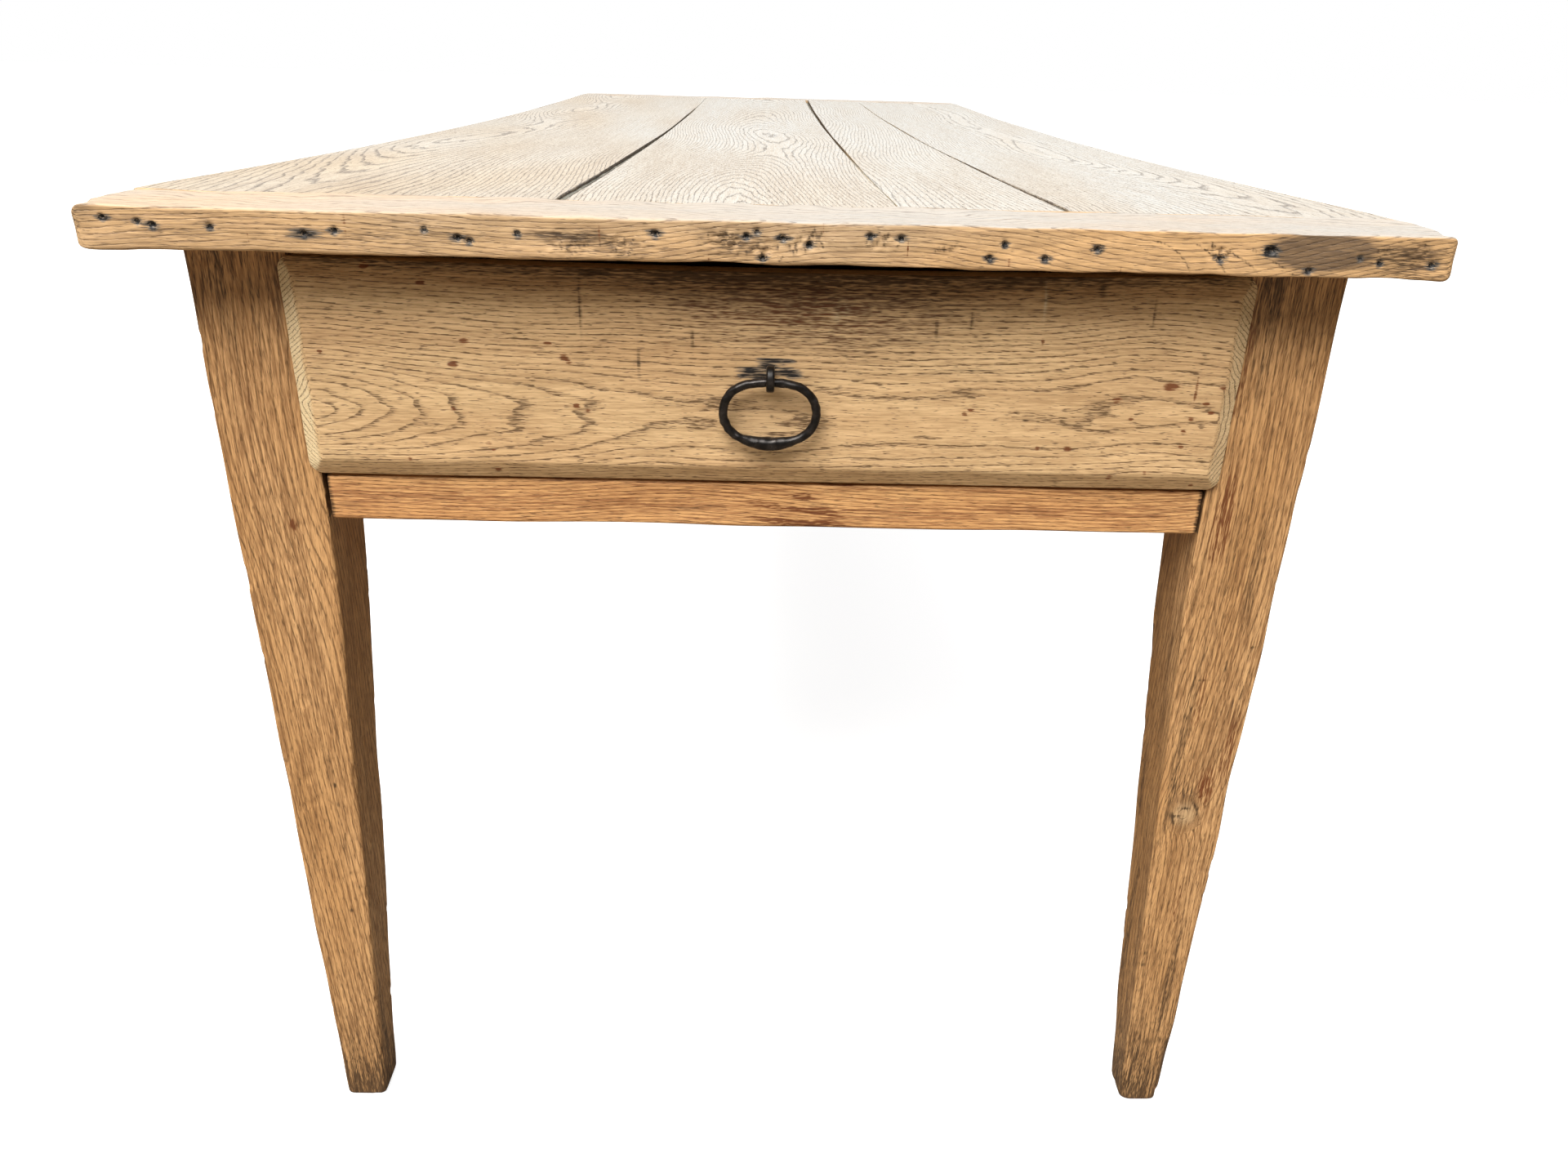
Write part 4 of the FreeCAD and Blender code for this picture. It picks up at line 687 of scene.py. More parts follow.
def bread_end(sign, corner_mm, spacing_mm, counts):
    """Rings and normals of the board across one end (sign -1 at the drawer), its corners rounded in plan."""
    reach = TOP_WIDE / 2

    def bread_shape(x):
        cut = fall_off(x, reach, corner_mm * MM)
        wander = 2.0 * MM + 0.45 * MM * drift(x, 0.12, 7 + sign)
        middle = sign * (BOARD_END + (BREAD_WIDE - cut) / 2)
        return middle, TOP - BOARD_THICK / 2, (BREAD_WIDE - cut) / 2, BOARD_THICK / 2, wander

    curve = corner_mm * MM * (1 - np.sin(np.linspace(0, np.pi / 2, 12)))
    even = np.linspace(-reach, reach, round(TOP_WIDE / (spacing_mm * MM)))
    places = np.unique(np.concatenate([even, curve - reach, reach - curve]))
    return stick(section(*counts), places, bread_shape, BREAD_ARRIS, 0)


rings, normals = bread_end(-1, NEAR_CORNER_MM, 1.0, (10, 6, 18, 24))
# its arris against the boards stayed sharp: there the section's arc is drawn out to its corner
SHARP_ARC = 1.6 * MM
inner_arc = (normals[..., 1] > 0.01) & (normals[..., 2] > 0.01)
rings[..., 1:] += SHARP_ARC * inner_arc[..., None] * (1 - normals[..., 1:])
# its ends are rubbed round by quarter ellipses: side, run along the board, fall above and below in mm
END_WEAR = ((-1, 10, 11, 4), (1, 8, 7, 4))
lift = rings[..., 2] - (TOP - BOARD_THICK / 2)
to_front = smooth(edge_face - rings[..., 1], -30 * MM, -8 * MM)
for side, run, above, below in END_WEAR:
    past = np.clip((side * rings[..., 0] - TOP_WIDE / 2) / (run * MM) + 1, 0, 1)
    fall = np.where(lift > 0, above, below) * MM * (1 - np.sqrt(1 - past ** 2))
    rings[..., 2] -= to_front * fall * lift / (BOARD_THICK / 2)
wave = 0.30 * ripple(rings, (0.07, 0.05, 0.03), 3) + 0.12 * ripple(rings, (0.02, 0.02, 0.012), 4) - 0.3
outward = np.maximum(-normals[..., 1], 0)
pits, rough = (blots(rings[..., 0].ravel(), rings[..., 2].ravel(), marks).reshape(wave.shape)
               for marks in (holes, bruises))
torn_up = rough * (0.5 + 0.4 * ripple(rings, (0.006, 0.01, 0.004), 5))
wave -= outward * (HOLE_DEEP_MM * pits + torn_up)
rings += normals * (wave * MM)[..., None]
bread_front, points = skin("breadboard_end_front_worn", rings, "table", ["breadboard_end_front"],
                           edge_oak)
x, y, z = points.T
normal = facing(bread_front)
up = smooth(normal[:, 2], 0.25, 0.9)
ahead = smooth(-normal[:, 1], 0.1, 0.7)
dark = np.zeros(len(points))
front = ahead > 0.02
dark[front] = blots(x[front], z[front], np.vstack([dashes_in(bruises, 9, 11), pricks]))
# its upper face is paler to the right: partly scrubbing, partly painted sheen where the top gleams
front_paling_and_sheen = 0.50 + 0.46 * smooth(x, -0.35, 0.1) + 0.06 * ripple(points, (0.2, 0.06, 0.1), 9)
ink_stains = blots(x, z, nailed * [1, 1, STAIN_INK, STAIN_INK, 1])
hole_ink = blots(x, z + INK_RUN, holes * [1, 1, HOLE_INK, HOLE_INK, 1])
dirt = blots(x, z, seen_marks(SHADES, edge_face)) + 0.15 * blots(x, z, bruises)
growth = np.hypot(y - FRONT_HEART[0] + 0.01 * drift(x, 0.4, 8), z - FRONT_HEART[1] - 0.02 * x)
paint(bread_front, growth=growth, bleach=np.clip(up * front_paling_and_sheen, 0, 1),
      ink=ahead * np.maximum(ink_stains, hole_ink),
      stain=ahead * np.minimum(blots(x, z, seen_marks(STAINED, edge_face)), 0.9),
      grime=ahead * np.maximum(dark, dirt), warmth=ahead * (0.6 * smooth(x, 0.02, 0.16) - 0.25),
      rust=ahead * blots(x, z, seen_marks(CUTS, edge_face)))

rings, normals = bread_end(1, FAR_CORNER_MM, 4.0, (8, 14, 14, 6))
wave = 0.30 * ripple(rings, (0.09, 0.06, 0.04), 13) - 0.3
rings += normals * (wave * MM)[..., None]
bread_back, points = skin("breadboard_end_back_worn", rings, "table", ["breadboard_end_back"],
                          edge_oak)
x, y, z = points.T
up = smooth(facing(bread_back)[:, 2], 0.25, 0.9)
# its upper face is bleached almost fully: partly real bleaching, partly painted sheen of the far end of the
# top
paint(bread_back, growth=np.hypot(y - BACK_HEART[0], z - BACK_HEART[1] - 0.03 * x),
      bleach=np.clip(up * (0.9 + 0.07 * ripple(points, (0.2, 0.06, 0.1), 19)), 0, 1))

# %% [markdown]
# ## The legs
# Each leg is 65 mm square where the rails meet it and tapers on its two inner faces down to a small foot.
# The faces are straight-grained, the inner arris is rubbed wavy, and the foot is worn round and dark from
# wet floors. A leg is a stick along Z; the front right one has a knot, round which the year rings swirl.

# %% Legs
leg_oak = oak("oak_stripped_leg", "z", "#D0A472", "#BC8E5B", "#825C38", "#46301B", ring_mm=3.4,
              roughness=0.56, dashes=0.6, scrub_and_sheen="#C9AE86", streak=0.85)
LEG_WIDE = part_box("leg_front_right")[1].x - LEG_INNER_X
LEG_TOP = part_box("leg_front_right")[1].z
LEG_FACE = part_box("leg_front_right")[0].y
APRON_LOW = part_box("back_rail")[0].z
FOOT_WIDE = 34 * MM
FOOT_ROUND = 5.5 * MM
TAPER_TOP = APRON_LOW - 30 * MM
TAPER_EASE = 20 * MM
# the wood has shrunk round the pegs, whose ends stand proud of it by at least this much
PEG_PROUD_MM = 0.15
# how far the heart of a leg's tree lies from the middle of the table, in x and y
LEG_HEART = 0.20, 0.86


def leg(name, side, end, spacing_mm, counts, seed):
    """Rings of a leg: square to below the rails, then both inner faces run in to the foot, eased at first."""
    low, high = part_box(name)
    outer_x = low.x if side < 0 else high.x
    outer_y = low.y if end < 0 else high.y

    def leg_shape(height):
        run = TAPER_EASE * np.logaddexp(0, (TAPER_TOP - height) / TAPER_EASE)
        wide = LEG_WIDE - (LEG_WIDE - FOOT_WIDE) * run / (TAPER_TOP - FOOT_ROUND)
        worn = 2.6 * MM + 0.8 * MM * drift(height, 0.09, seed) + 4.5 * MM * np.exp(-height / (40 * MM))
        return outer_x - side * wide / 2, outer_y - end * wide / 2, wide / 2, wide / 2, worn

    places = np.linspace(0, LEG_TOP, round(LEG_TOP / (spacing_mm * MM)))
    rings, normals = stick(section(*counts), places, leg_shape, FOOT_ROUND, 2)
    corner = 2 * np.abs(normals[..., 0] * normals[..., 1])
    dents = smooth(ripple(rings, (0.02, 0.02, 0.03), seed + 1), 0.9, 2.2)
    wave = 0.35 * ripple(rings, (0.10, 0.10, 0.16), seed + 2) - 0.4 - 1.1 * corner * dents - 0.5 * dents
    return rings + normals * (np.minimum(wave, -PEG_PROUD_MM) * MM)[..., None]


# %% Marks on the legs
KNOT_PIXEL = ((1450, 997),)
knot_x, _, knot_z = seen_on(KNOT_PIXEL, LEG_FACE)[0]
# dents, nicks and scratches, given as the marks on the edge are
DARK_ON_LEGS = (
    (410, 962, 1.4, 3, 0.8), (413, 986, 1.6, 3, 0.8), (430, 1115, 1.8, 1.8, 1.0), (386, 862, 1.0, 6, 0.5),
    (345, 760, 1.0, 5, 0.4), (452, 1225, 1.2, 3, 0.6), (1403, 1168, 1.2, 2, 1.0), (1400, 1182, 1.4, 2, 1.0),
    (1419, 1235, 0.9, 3, 0.7), (1443, 1229, 1.3, 1.6, 0.9), (1426, 1291, 1.8, 1.3, 0.8),
    (1412, 1264, 1.0, 1.2, 0.8), (1501, 818, 1.2, 5, 0.6), (1509, 863, 0.9, 6, 0.6),
    (1470, 833, 7, 0.9, 0.5), (1535, 793, 1.8, 1.2, 0.6), (1416, 1252, 5, 0.9, 0.6),
    (1440, 1000, 4, 0.9, 0.9), (1452, 990, 3, 0.9, 0.9))
# red-brown streaks
RED_ON_LEGS = (
    (359, 643, 2.5, 5, 0.8), (300, 470, 7, 60, 0.25), (1498, 638, 10, 50, 0.5), (1476, 965, 8, 20, 0.6),
    (1505, 920, 8, 50, 0.4), (1520, 450, 8, 70, 0.4), (1470, 860, 7, 50, 0.35), (1440, 1110, 6, 40, 0.35))
leg_darks, leg_reds = seen_marks(DARK_ON_LEGS, LEG_FACE), seen_marks(RED_ON_LEGS, LEG_FACE)
# leg, side, end, spacing of its rings in mm, and points on each side of a ring
FINE, PLAIN = (46, 20, 12, 20), (12, 12, 12, 12)
LEGS = (("leg_front_left", -1, -1, 1.4, FINE), ("leg_front_right", 1, -1, 1.4, FINE),
        ("leg_back_left", -1, 1, 5.0, PLAIN), ("leg_back_right", 1, 1, 5.0, PLAIN))
for name, side, end, spacing, counts in LEGS:
    seed = 200 + 10 * (side + 1) + end
    rings = leg(name, side, end, spacing, counts, seed)
    piece, points = skin(f"{name}_worn", rings, "table", [name], leg_oak)
    x, y, z = points.T
    growth = np.hypot(x - side * LEG_HEART[0] + 0.010 * drift(z, 0.5, seed + 3, apart=seed) + 0.010 * z,
                      y - end * LEG_HEART[1] + 0.006 * drift(z, 0.3, seed + 4, apart=seed))
    dirty = smooth(ripple(points, (0.016, 0.016, 0.3), seed + 5), 0.3, 2.2)
    wet_foot = (0.88 - 0.08 * side) * np.exp(-z / (70 * MM))
    # painted shade: each leg darkens towards its top, where the top overhangs it
    overhang_shade_on_leg = (0.27 - 0.05 * side) * smooth(z, 0.64, LEG_TOP)
    ahead = smooth(-facing(piece)[:, 1], 0.2, 0.7)
    marked = np.maximum(wet_foot + 0.30 * dirty, ahead * blots(x, z, leg_darks))
    grime = marked + 0.15 * (side > 0) + overhang_shade_on_leg
    if end < 0:
        # painted shade: a front leg is painted black inside the narrow gap beside the drawer rail, where
        # light hardly reaches
        shaded_gap_by_rail = (z > APRON_LOW) & (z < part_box("drawer_rail")[1].z) & (np.abs(x) < LEG_INNER_X + 1.5 * MM)
        grime = np.where(shaded_gap_by_rail & (ahead < 0.7), 1, grime)
    bleach = np.zeros(len(points))
    if name == "leg_front_right":
        off_x, off_z = x - knot_x, z - knot_z
        away = np.hypot(off_x, off_z * 0.85)
        bleach = 0.7 * np.exp(-(away / (9 * MM)) ** 4)
        swirl = smooth(away, 5 * MM, 16 * MM)
        bend = 9 * MM * np.exp(-(away / (20 * MM)) ** 2)
        growth = swirl * (growth + bend) + (1 - swirl) * (0.4 + 0.8 * away)
        round_knot = smooth(np.sin(2 * np.arctan2(off_z, off_x) + 0.6), 0, 0.8)
        grime = grime + ahead * 0.8 * round_knot * np.exp(-((away - 10 * MM) / (1.1 * MM)) ** 2)
        grime = grime + 0.35 * np.exp(-(off_x / (9 * MM)) ** 2 - ((off_z - 20 * MM) / (12 * MM)) ** 2)
    paint(piece, growth=growth, grime=np.clip(grime, 0, 1), rust=ahead * blots(x, z, leg_reds), bleach=bleach)

# %% [markdown]
# ## The rails
# The side rails carry the sagging top and have bent with it. The back rail joins the back legs, and a thin
# rail runs under the drawer. The side rails and the back rail are pegged into the legs. All are sticks. Those
# along the sides end at the legs; those across carry a short tenon at each end, because a tenon shows where
# a shoulder has shrunk away from its leg.

# %% Side rails
side_rail_oak = oak("oak_stripped_side_rail", "y", "#C79B66", "#B0824E", "#805834", "#432D1A", roughness=0.58,
                    dashes=0.6, streak=0.6)
# the cupped top has bedded down on the side rails, so that no light shows between them
BEDDED = 2 * MM
RAIL_TOP = LEG_TOP + BEDDED
RAIL_END = 0.6 * MM
for name, side in (("side_rail_left", -1), ("side_rail_right", 1)):
    low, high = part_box(name)

    def rail_shape(y):
        arris = 2 * MM + 0.5 * MM * drift(y, 0.2, 31 + side)
        return ((APRON_LOW + RAIL_TOP) / 2 + dip(y), (low.x + high.x) / 2, (RAIL_TOP - APRON_LOW) / 2,
                (high.x - low.x) / 2, arris)

    places = np.linspace(-LEG_INNER_Y, LEG_INNER_Y, 160)
    rings, normals = stick(section(16, 8, 16, 8), places, rail_shape, RAIL_END, 1)
    wave = 0.4 * ripple(rings, (0.1, 0.35, 0.09), 33 + side) - 0.4
    rings += normals * (wave * MM)[..., None]
    piece, points = skin(f"{name}_worn", rings, "table", [name], side_rail_oak)
    x, y, z = points.T
    heart_wander = 0.012 * ripple(np.column_stack([y, y * 0, y * 0 + side]), 0.8, 35 + side)
    paint(piece, growth=np.hypot(x + side * (0.05 - 0.03 * y), z - 0.63 + heart_wander),
          grime=0.25 * smooth(ripple(points, (0.04, 0.3, 0.05), 37 + side), 0.5, 2.0))

# %% Back rail and drawer rail
end_rail_oak = oak("oak_stripped_end_rail", "x", "#DEAD74", "#C9915B", "#8E5D39", "#4A2E1A", ring_mm=2.4,
                   roughness=0.56, dashes=0.6, streak=0.85)
CROSS_ARRIS = 2 * MM
TENON_LONG, SHOULDER = 15 * MM, 0.1 * MM
# a tenon's share of its rail's thickness and height
TENON_THICK, TENON_HIGH = 0.45, 0.7


def cross_rail(name, low, high, spacing_mm, seed):
    """A rail along X from shoulder to shoulder, with soft arrises and wavy faces, and a tenon at each end."""
    middle, half = (np.array(low) + np.array(high)) / 2, (np.array(high) - np.array(low)) / 2

    def cross_shape(x):
        wander = CROSS_ARRIS * (1 + 0.25 * drift(x, 0.1, seed))
        thin = np.abs(x - middle[0]) > half[0]
        return (middle[1], middle[2], half[1] * np.where(thin, TENON_THICK, 1),
                half[2] * np.where(thin, TENON_HIGH, 1), wander)

    between = np.linspace(low[0], high[0], round((high[0] - low[0]) / (spacing_mm * MM)))
    places = np.concatenate([[low[0] - TENON_LONG, low[0] - SHOULDER], between,
                             [high[0] + SHOULDER, high[0] + TENON_LONG]])
    rings, normals = stick(section(10, 14, 10, 14), places, cross_shape, RAIL_END, 0)
    wave = 0.3 * ripple(rings, (0.12, 0.06, 0.05), seed + 1) - 0.3
    rings += normals * (wave * MM)[..., None]
    return skin(f"{name}_worn", rings, "table", [name], end_rail_oak)


back_low, back_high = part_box("back_rail")
back_rail, points = cross_rail("back_rail", (-LEG_INNER_X, back_low.y, back_low.z),
                               (LEG_INNER_X, back_high.y, back_high.z), 5, 41)
x, y, z = points.T
paint(back_rail, growth=np.hypot(y - 0.90 - 0.05 * x, z - 0.66 + 0.02 * drift(x, 0.5, 43)))

bar_low, bar_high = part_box("drawer_rail")
# its shoulders have shrunk away from the legs, more on the left
SHRUNK_LEFT, SHRUNK_RIGHT = 2.3 * MM, 1.5 * MM
bar_left, bar_right = SHRUNK_LEFT - LEG_INNER_X, LEG_INNER_X - SHRUNK_RIGHT
drawer_rail, points = cross_rail("drawer_rail", (bar_left, bar_low.y, bar_low.z),
                                 (bar_right, bar_high.y, bar_high.z), 3, 45)
x, y, z = points.T
# painted shade: each tenon past its shoulder is darkened, where it shows deep in the gap to its leg
shade_past_shoulder = smooth(np.maximum(bar_left - x, x - bar_right), -0.4 * MM, 0)
dirty = smooth(ripple(points, (0.05, 0.05, 0.01), 48), 0.4, 2.0)
rusty = smooth(ripple(points, (0.05, 0.05, 0.008), 49), -0.5, 1.5)
paint(drawer_rail, growth=np.hypot(y + 0.95, z - 0.48 + 0.003 * drift(x, 0.25, 47)),
      grime=np.clip(0.3 * dirty + shade_past_shoulder, 0, 1), rust=0.8 * np.exp(-((x - 0.022) / 0.04) ** 2) * rusty)

# %% [markdown]
# ## The drawer front
# The front is one flat-sawn board, bevelled all round to a thin lip that covers the gap to the legs. At its
# left end the saw came close to the heart of the tree, so the rings make pointed arches there. The face is
# a sheet whose depth depends on how near the edge is, and behind it sits the block with the dovetail
# sockets for the drawer's sides.

# %% Drawer front
drawer_oak = oak("oak_stripped_drawer_front", "x", "#D6B588", "#C8A174", "#98744D", "#4B3521", roughness=0.6,
                 streak=0.55, rings=0.26)
face_low, face_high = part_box("drawer_front")
LIP_CLEAR = 0.3 * MM
LIP_BACK = LEG_FACE - LIP_CLEAR
LIP_THICK, LIP_ARRIS, LIP_END = 2 * MM, 0.8 * MM, 0.6 * MM
LIP_CORNER = 9 * MM
BEVEL_WIDE, BEVEL_DEEP = 12 * MM, 7 * MM
CREASE = 0.15 * MM
EDGE_WEAR, HOLLOW = 3.2 * MM, 4 * MM


def face_top(x):
    """Height of the front's upper edge, planed down to clear the top: a parabola, lowest in the middle."""
    return face_high.z - EDGE_WEAR - HOLLOW * (1 - (x / face_high.x) ** 2)


def lip_shape(x):
    """The thin lip: a rectangle up to the upper edge, which shrinks in a quarter circle at its ends."""
    return (LIP_BACK - LIP_THICK / 2, (face_low.z + face_top(x)) / 2, LIP_THICK / 2,
            (face_top(x) - face_low.z) / 2 - fall_off(x, face_high.x, LIP_CORNER), LIP_ARRIS)


def from_edge(x, z):
    """Distance inwards from the lip's outline, a rectangle with quarter-circle corners.

    Near a corner it is the radius minus the distance to the quarter circle's middle, else that to the side.
    """
    over_x = np.abs(x) - face_high.x + LIP_CORNER
    over_z = np.maximum(face_low.z - z, z - face_top(x)) + LIP_CORNER
    into_corner = np.hypot(np.maximum(over_x, 0), np.maximum(over_z, 0))
    return LIP_CORNER - into_corner - np.minimum(np.maximum(over_x, over_z), 0)


def softer_least(first, second, soften):
    """The lesser of two arrays with its crease rounded: minus the log of the sum of exp(-value / soften)."""
    return -soften * np.logaddexp(-first / soften, -second / soften)


# columns of points stand 1 mm apart, so that one lies on the crease of each end's bevel and keeps it crisp
FACE_COLUMNS = 609
curve = LIP_CORNER * (1 - np.sin(np.linspace(0, np.pi / 2, 10)))
even = np.linspace(face_low.x, face_high.x, FACE_COLUMNS)
places = np.unique(np.round(np.concatenate([even, face_low.x + curve, face_high.x - curve]), 6))
rings, normals = stick(section(2, 8, 2, 90), places, lip_shape, LIP_END, 0)
edge = from_edge(rings[..., 0], rings[..., 2])
rise = softer_least(BEVEL_DEEP * edge / BEVEL_WIDE, np.full(edge.shape, BEVEL_DEEP), CREASE)
wave = 0.25 * ripple(rings, (0.09, 0.09, 0.05), 51) + 0.10 * ripple(rings, (0.03, 0.03, 0.009), 52) - 0.15
outward = np.maximum(-normals[..., 1], 0)
rings[..., 1] -= outward * (np.maximum(rise, 0) + wave * MM)
drawer_face, points = skin("drawer_front_worn", rings, "drawer", ["drawer_front"],
                           drawer_oak)

# %% Marks of the drawer front
# red-brown spots, given as the marks on the edge are
RED_SPOTS = (
    (554, 446, 3.6, 2.6, 1), (568, 418, 3.2, 2, 0.9), (670, 421, 2.8, 1.8, 0.9), (691, 438, 3.4, 2.4, 0.9),
    (696, 443, 2.4, 1.6, 0.9), (391, 430, 1.6, 1.6, 0.9), (555, 501, 2.2, 1.4, 0.9),
    (599, 543, 2.8, 1.8, 0.9), (605, 551, 1.8, 1.4, 0.8), (706, 497, 2.4, 1.8, 0.9),
    (720, 503, 2.2, 1.4, 0.9), (502, 561, 1.8, 1.4, 0.8), (609, 577, 2.4, 1.6, 0.7),
    (1434, 474, 5.2, 2.8, 1), (1368, 490, 3.6, 1.9, 0.95), (1498, 475, 3, 1.7, 0.9),
    (1477, 495, 2.4, 1.5, 0.9), (1483, 507, 2.6, 1.4, 0.9), (1458, 513, 2.4, 1.4, 0.8),
    (1385, 513, 2, 1.6, 0.8), (1449, 529, 2, 1.6, 0.8), (1446, 547, 2, 2, 0.8), (1270, 549, 1.8, 1.8, 0.8),
    (1307, 550, 3, 1.5, 0.9), (1358, 585, 3, 1.8, 0.8), (1461, 597, 2, 1.4, 0.8),
    (1277, 419, 1.4, 2.4, 0.8), (1189, 502, 2.4, 1.2, 0.9), (1181, 507, 2, 1.3, 0.9),
    (1401, 579, 1.8, 1.2, 0.8), (514, 346, 3, 2, 0.9), (442, 327, 3, 2, 0.9), (1465, 478, 1.1, 8, 0.9),
    (935, 572, 9, 3, 0.3), (816, 430, 4, 16, 0.3))
# dark scratches, nicks and short cracks along the grain
DARK_MARKS = (
    (1414, 386, 0.9, 9, 0.75), (1412, 371, 2.4, 0.9, 0.6), (1411, 401, 2.4, 0.9, 0.6),
    (710, 380, 0.9, 16, 0.6), (782, 445, 0.9, 9, 0.6), (848, 415, 0.9, 5, 0.6), (1190, 393, 0.9, 5, 0.6),
    (1147, 403, 0.9, 5, 0.55), (1352, 358, 2, 3, 0.6), (1192, 454, 20, 0.9, 0.5), (1140, 458, 8, 0.9, 0.5),
    (1182, 419, 26, 0.9, 0.35), (1345, 492, 9, 1.4, 0.5), (1254, 515, 2.2, 0.9, 0.7),
    (1292, 544, 2.2, 0.9, 0.7), (1470, 500, 5, 1.2, 0.45), (945, 510, 1.5, 1.2, 0.8))
# iron stains round the staple
STAPLE_STAINS = (
    (922, 454, 9, 2.2, 1.2), (930, 461, 8, 1.8, 1.1), (914, 460, 5, 1.6, 0.9), (962, 455, 8, 2.2, 1.2),
    (970, 461, 6, 1.8, 0.9), (946, 442, 9, 2.2, 1.1), (962, 443, 6, 1.6, 0.8), (941, 450, 6, 4, 1.2))
# places rubbed or scraped pale
PALE_MARKS = ((1281, 369, 0.9, 9, 1), (1033, 380, 4, 5, 0.5), (1025, 388, 3, 4, 0.5))
x, y, z = points.T
spots, darks, stains, pales = (blots(x, z, seen_marks(marks, face_low.y))
                               for marks in (RED_SPOTS, DARK_MARKS, STAPLE_STAINS, PALE_MARKS))
print(len(RED_SPOTS), "red spots and", len(DARK_MARKS), "dark marks on the drawer front")

# %% Year rings and tone of the drawer front
ARCH_AXIS_PIXEL = ((520, 505),)
arch_axis = seen_on(ARCH_AXIS_PIXEL, face_low.y)[0][2]
from_left = x - face_low.x
heart_deep = (28 * MM * np.tanh(from_left / (140 * MM)) - 2.5 * MM * np.exp(-((x - 0.225) / 0.045) ** 2)
              + 0.9 * MM * smooth(x, -0.25, -0.1) * drift(x, 0.16, 53))
heart_height = arch_axis + 0.010 * smooth(x, 0.05, 0.3) + 1.2 * MM * drift(x, 0.11, 54)
off_axis = np.abs(z - heart_height)
# the rings are flattened, as in a tree that grew on a slope, and a bevel cuts them steeply
off_rings = (0.6 * off_axis + 0.4 * np.maximum(off_axis - 20 * MM, 0)
             + 2.5 * MM * smooth(x, 0.12, 0.3) * (z > heart_height))
recess = np.clip(y - face_low.y, 0, BEVEL_DEEP)
normal = facing(drawer_face)
ahead = smooth(-normal[:, 1], 0.2, 0.7)
end_bevel = smooth(recess, 0.6 * MM, 2.5 * MM) * smooth(np.abs(normal[:, 0]), 0.2, 0.4)
# the wood above the pull is the reddest; it is darker there, partly from handling and partly as painted
# shade under the top's overhang, and painted shade darkens the face just under its upper edge
reddened = 0.34 * np.exp(-((x - 0.02) / 0.13) ** 2 - ((z - 0.70) / 0.03) ** 2)
handled_and_overhang_shade = 0.50 * np.exp(-((x - 0.01) / 0.15) ** 2 - ((z - 0.705) / 0.035) ** 2)
overhang_shade_under_edge = 0.5 * smooth(z - face_top(x), -10 * MM, 0) + 0.12 * smooth(z - face_top(x), -30 * MM, 0)
cloudy = 0.05 * ripple(points, (0.25, 0.1, 0.06), 55)
growth = np.hypot(off_rings, heart_deep) + (0.9 + 0.4 * end_bevel) * recess
paint(drawer_face, growth=growth, end_cut=end_bevel, rust=ahead * np.maximum(spots, reddened),
      ink=ahead * stains, grime=np.clip(handled_and_overhang_shade + overhang_shade_under_edge + cloudy + ahead * darks, 0, 1),
      bleach=np.clip(0.08 + (0.7 - 0.25 * np.sign(x)) * end_bevel + pales, 0, 1))

# %% The block behind the drawer front, with its dovetail sockets
side_low, side_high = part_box("drawer_side_right")
SOCKET_CLEAR = 0.2 * MM
CORE_BACK = face_high.y
SOCKET_TIP = side_low.y - SOCKET_CLEAR
SOCKET_HEIGHTS = side_low.z + np.array([25, 65, 105]) * MM
SOCKET_TIP_HALF, SOCKET_ROOT_HALF = 15.7 * MM, 13.87 * MM
CORE_HALF, CORE_INNER = side_high.x, side_low.x - SOCKET_CLEAR


def core_outline(socket_back):
    """The block's outline in y and z, anticlockwise, its three sockets as deep as socket_back."""
    notch = np.array([[CORE_BACK, -SOCKET_ROOT_HALF], [socket_back, -SOCKET_TIP_HALF],
                      [socket_back, SOCKET_TIP_HALF], [CORE_BACK, SOCKET_ROOT_HALF]])
    notches = (notch + np.stack([0 * SOCKET_HEIGHTS, SOCKET_HEIGHTS], axis=-1)[:, None]).reshape(-1, 2)
    return np.vstack([[(LIP_BACK, face_low.z), (CORE_BACK, face_low.z)], notches,
                      [(CORE_BACK, face_high.z), (LIP_BACK, face_high.z)]])


cut, uncut = core_outline(SOCKET_TIP), core_outline(CORE_BACK)
between = np.linspace(-CORE_INNER, CORE_INNER, 17)
core_x = np.concatenate([[-CORE_HALF, -CORE_INNER], between, [CORE_INNER, CORE_HALF]])
outlines = np.stack([cut, cut] + [uncut] * len(between) + [cut, cut])
outlines[:, -2:, 1] = face_top(core_x)[:, None]
along_x = np.broadcast_to(core_x[:, None, None], outlines.shape[:2] + (1,))
core_points = np.concatenate([along_x, outlines], axis=-1)
here = np.arange(outlines.shape[0] * len(cut)).reshape(-1, len(cut))
beside = np.roll(here, -1, axis=1)
walls = np.stack([here[:-1], beside[:-1], beside[1:], here[1:]], axis=-1).reshape(-1, 4)
core_mesh = bpy.data.meshes.new("drawer_front_block")
core_mesh.from_pydata(core_points.reshape(-1, 3).tolist(), [],
                      walls.tolist() + [here[0, ::-1].tolist(), here[-1].tolist()])
core_mesh.materials.append(drawer_oak)
core = bpy.data.objects.new("drawer_front_block", core_mesh)
bpy.context.collection.objects.link(core)
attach(core, "drawer")
core_z = core_points[..., 2].ravel()
paint(core, growth=np.hypot(core_z - 0.64, 0.03), grime=np.full(core_z.size, 0.15))
print("drawer front block:", len(core_mesh.polygons), "faces")

# %% [markdown]
# ## The iron pull
# A rod was drawn out, bent to an oval ring with a thicker grip at the bottom and hung in a split pin made
# from a strap. Forged iron is never quite round or even, so the bar's radius ripples. The ring is a circle
# carried round a closed path; the pin is a small rounded rectangle carried along its bent path.

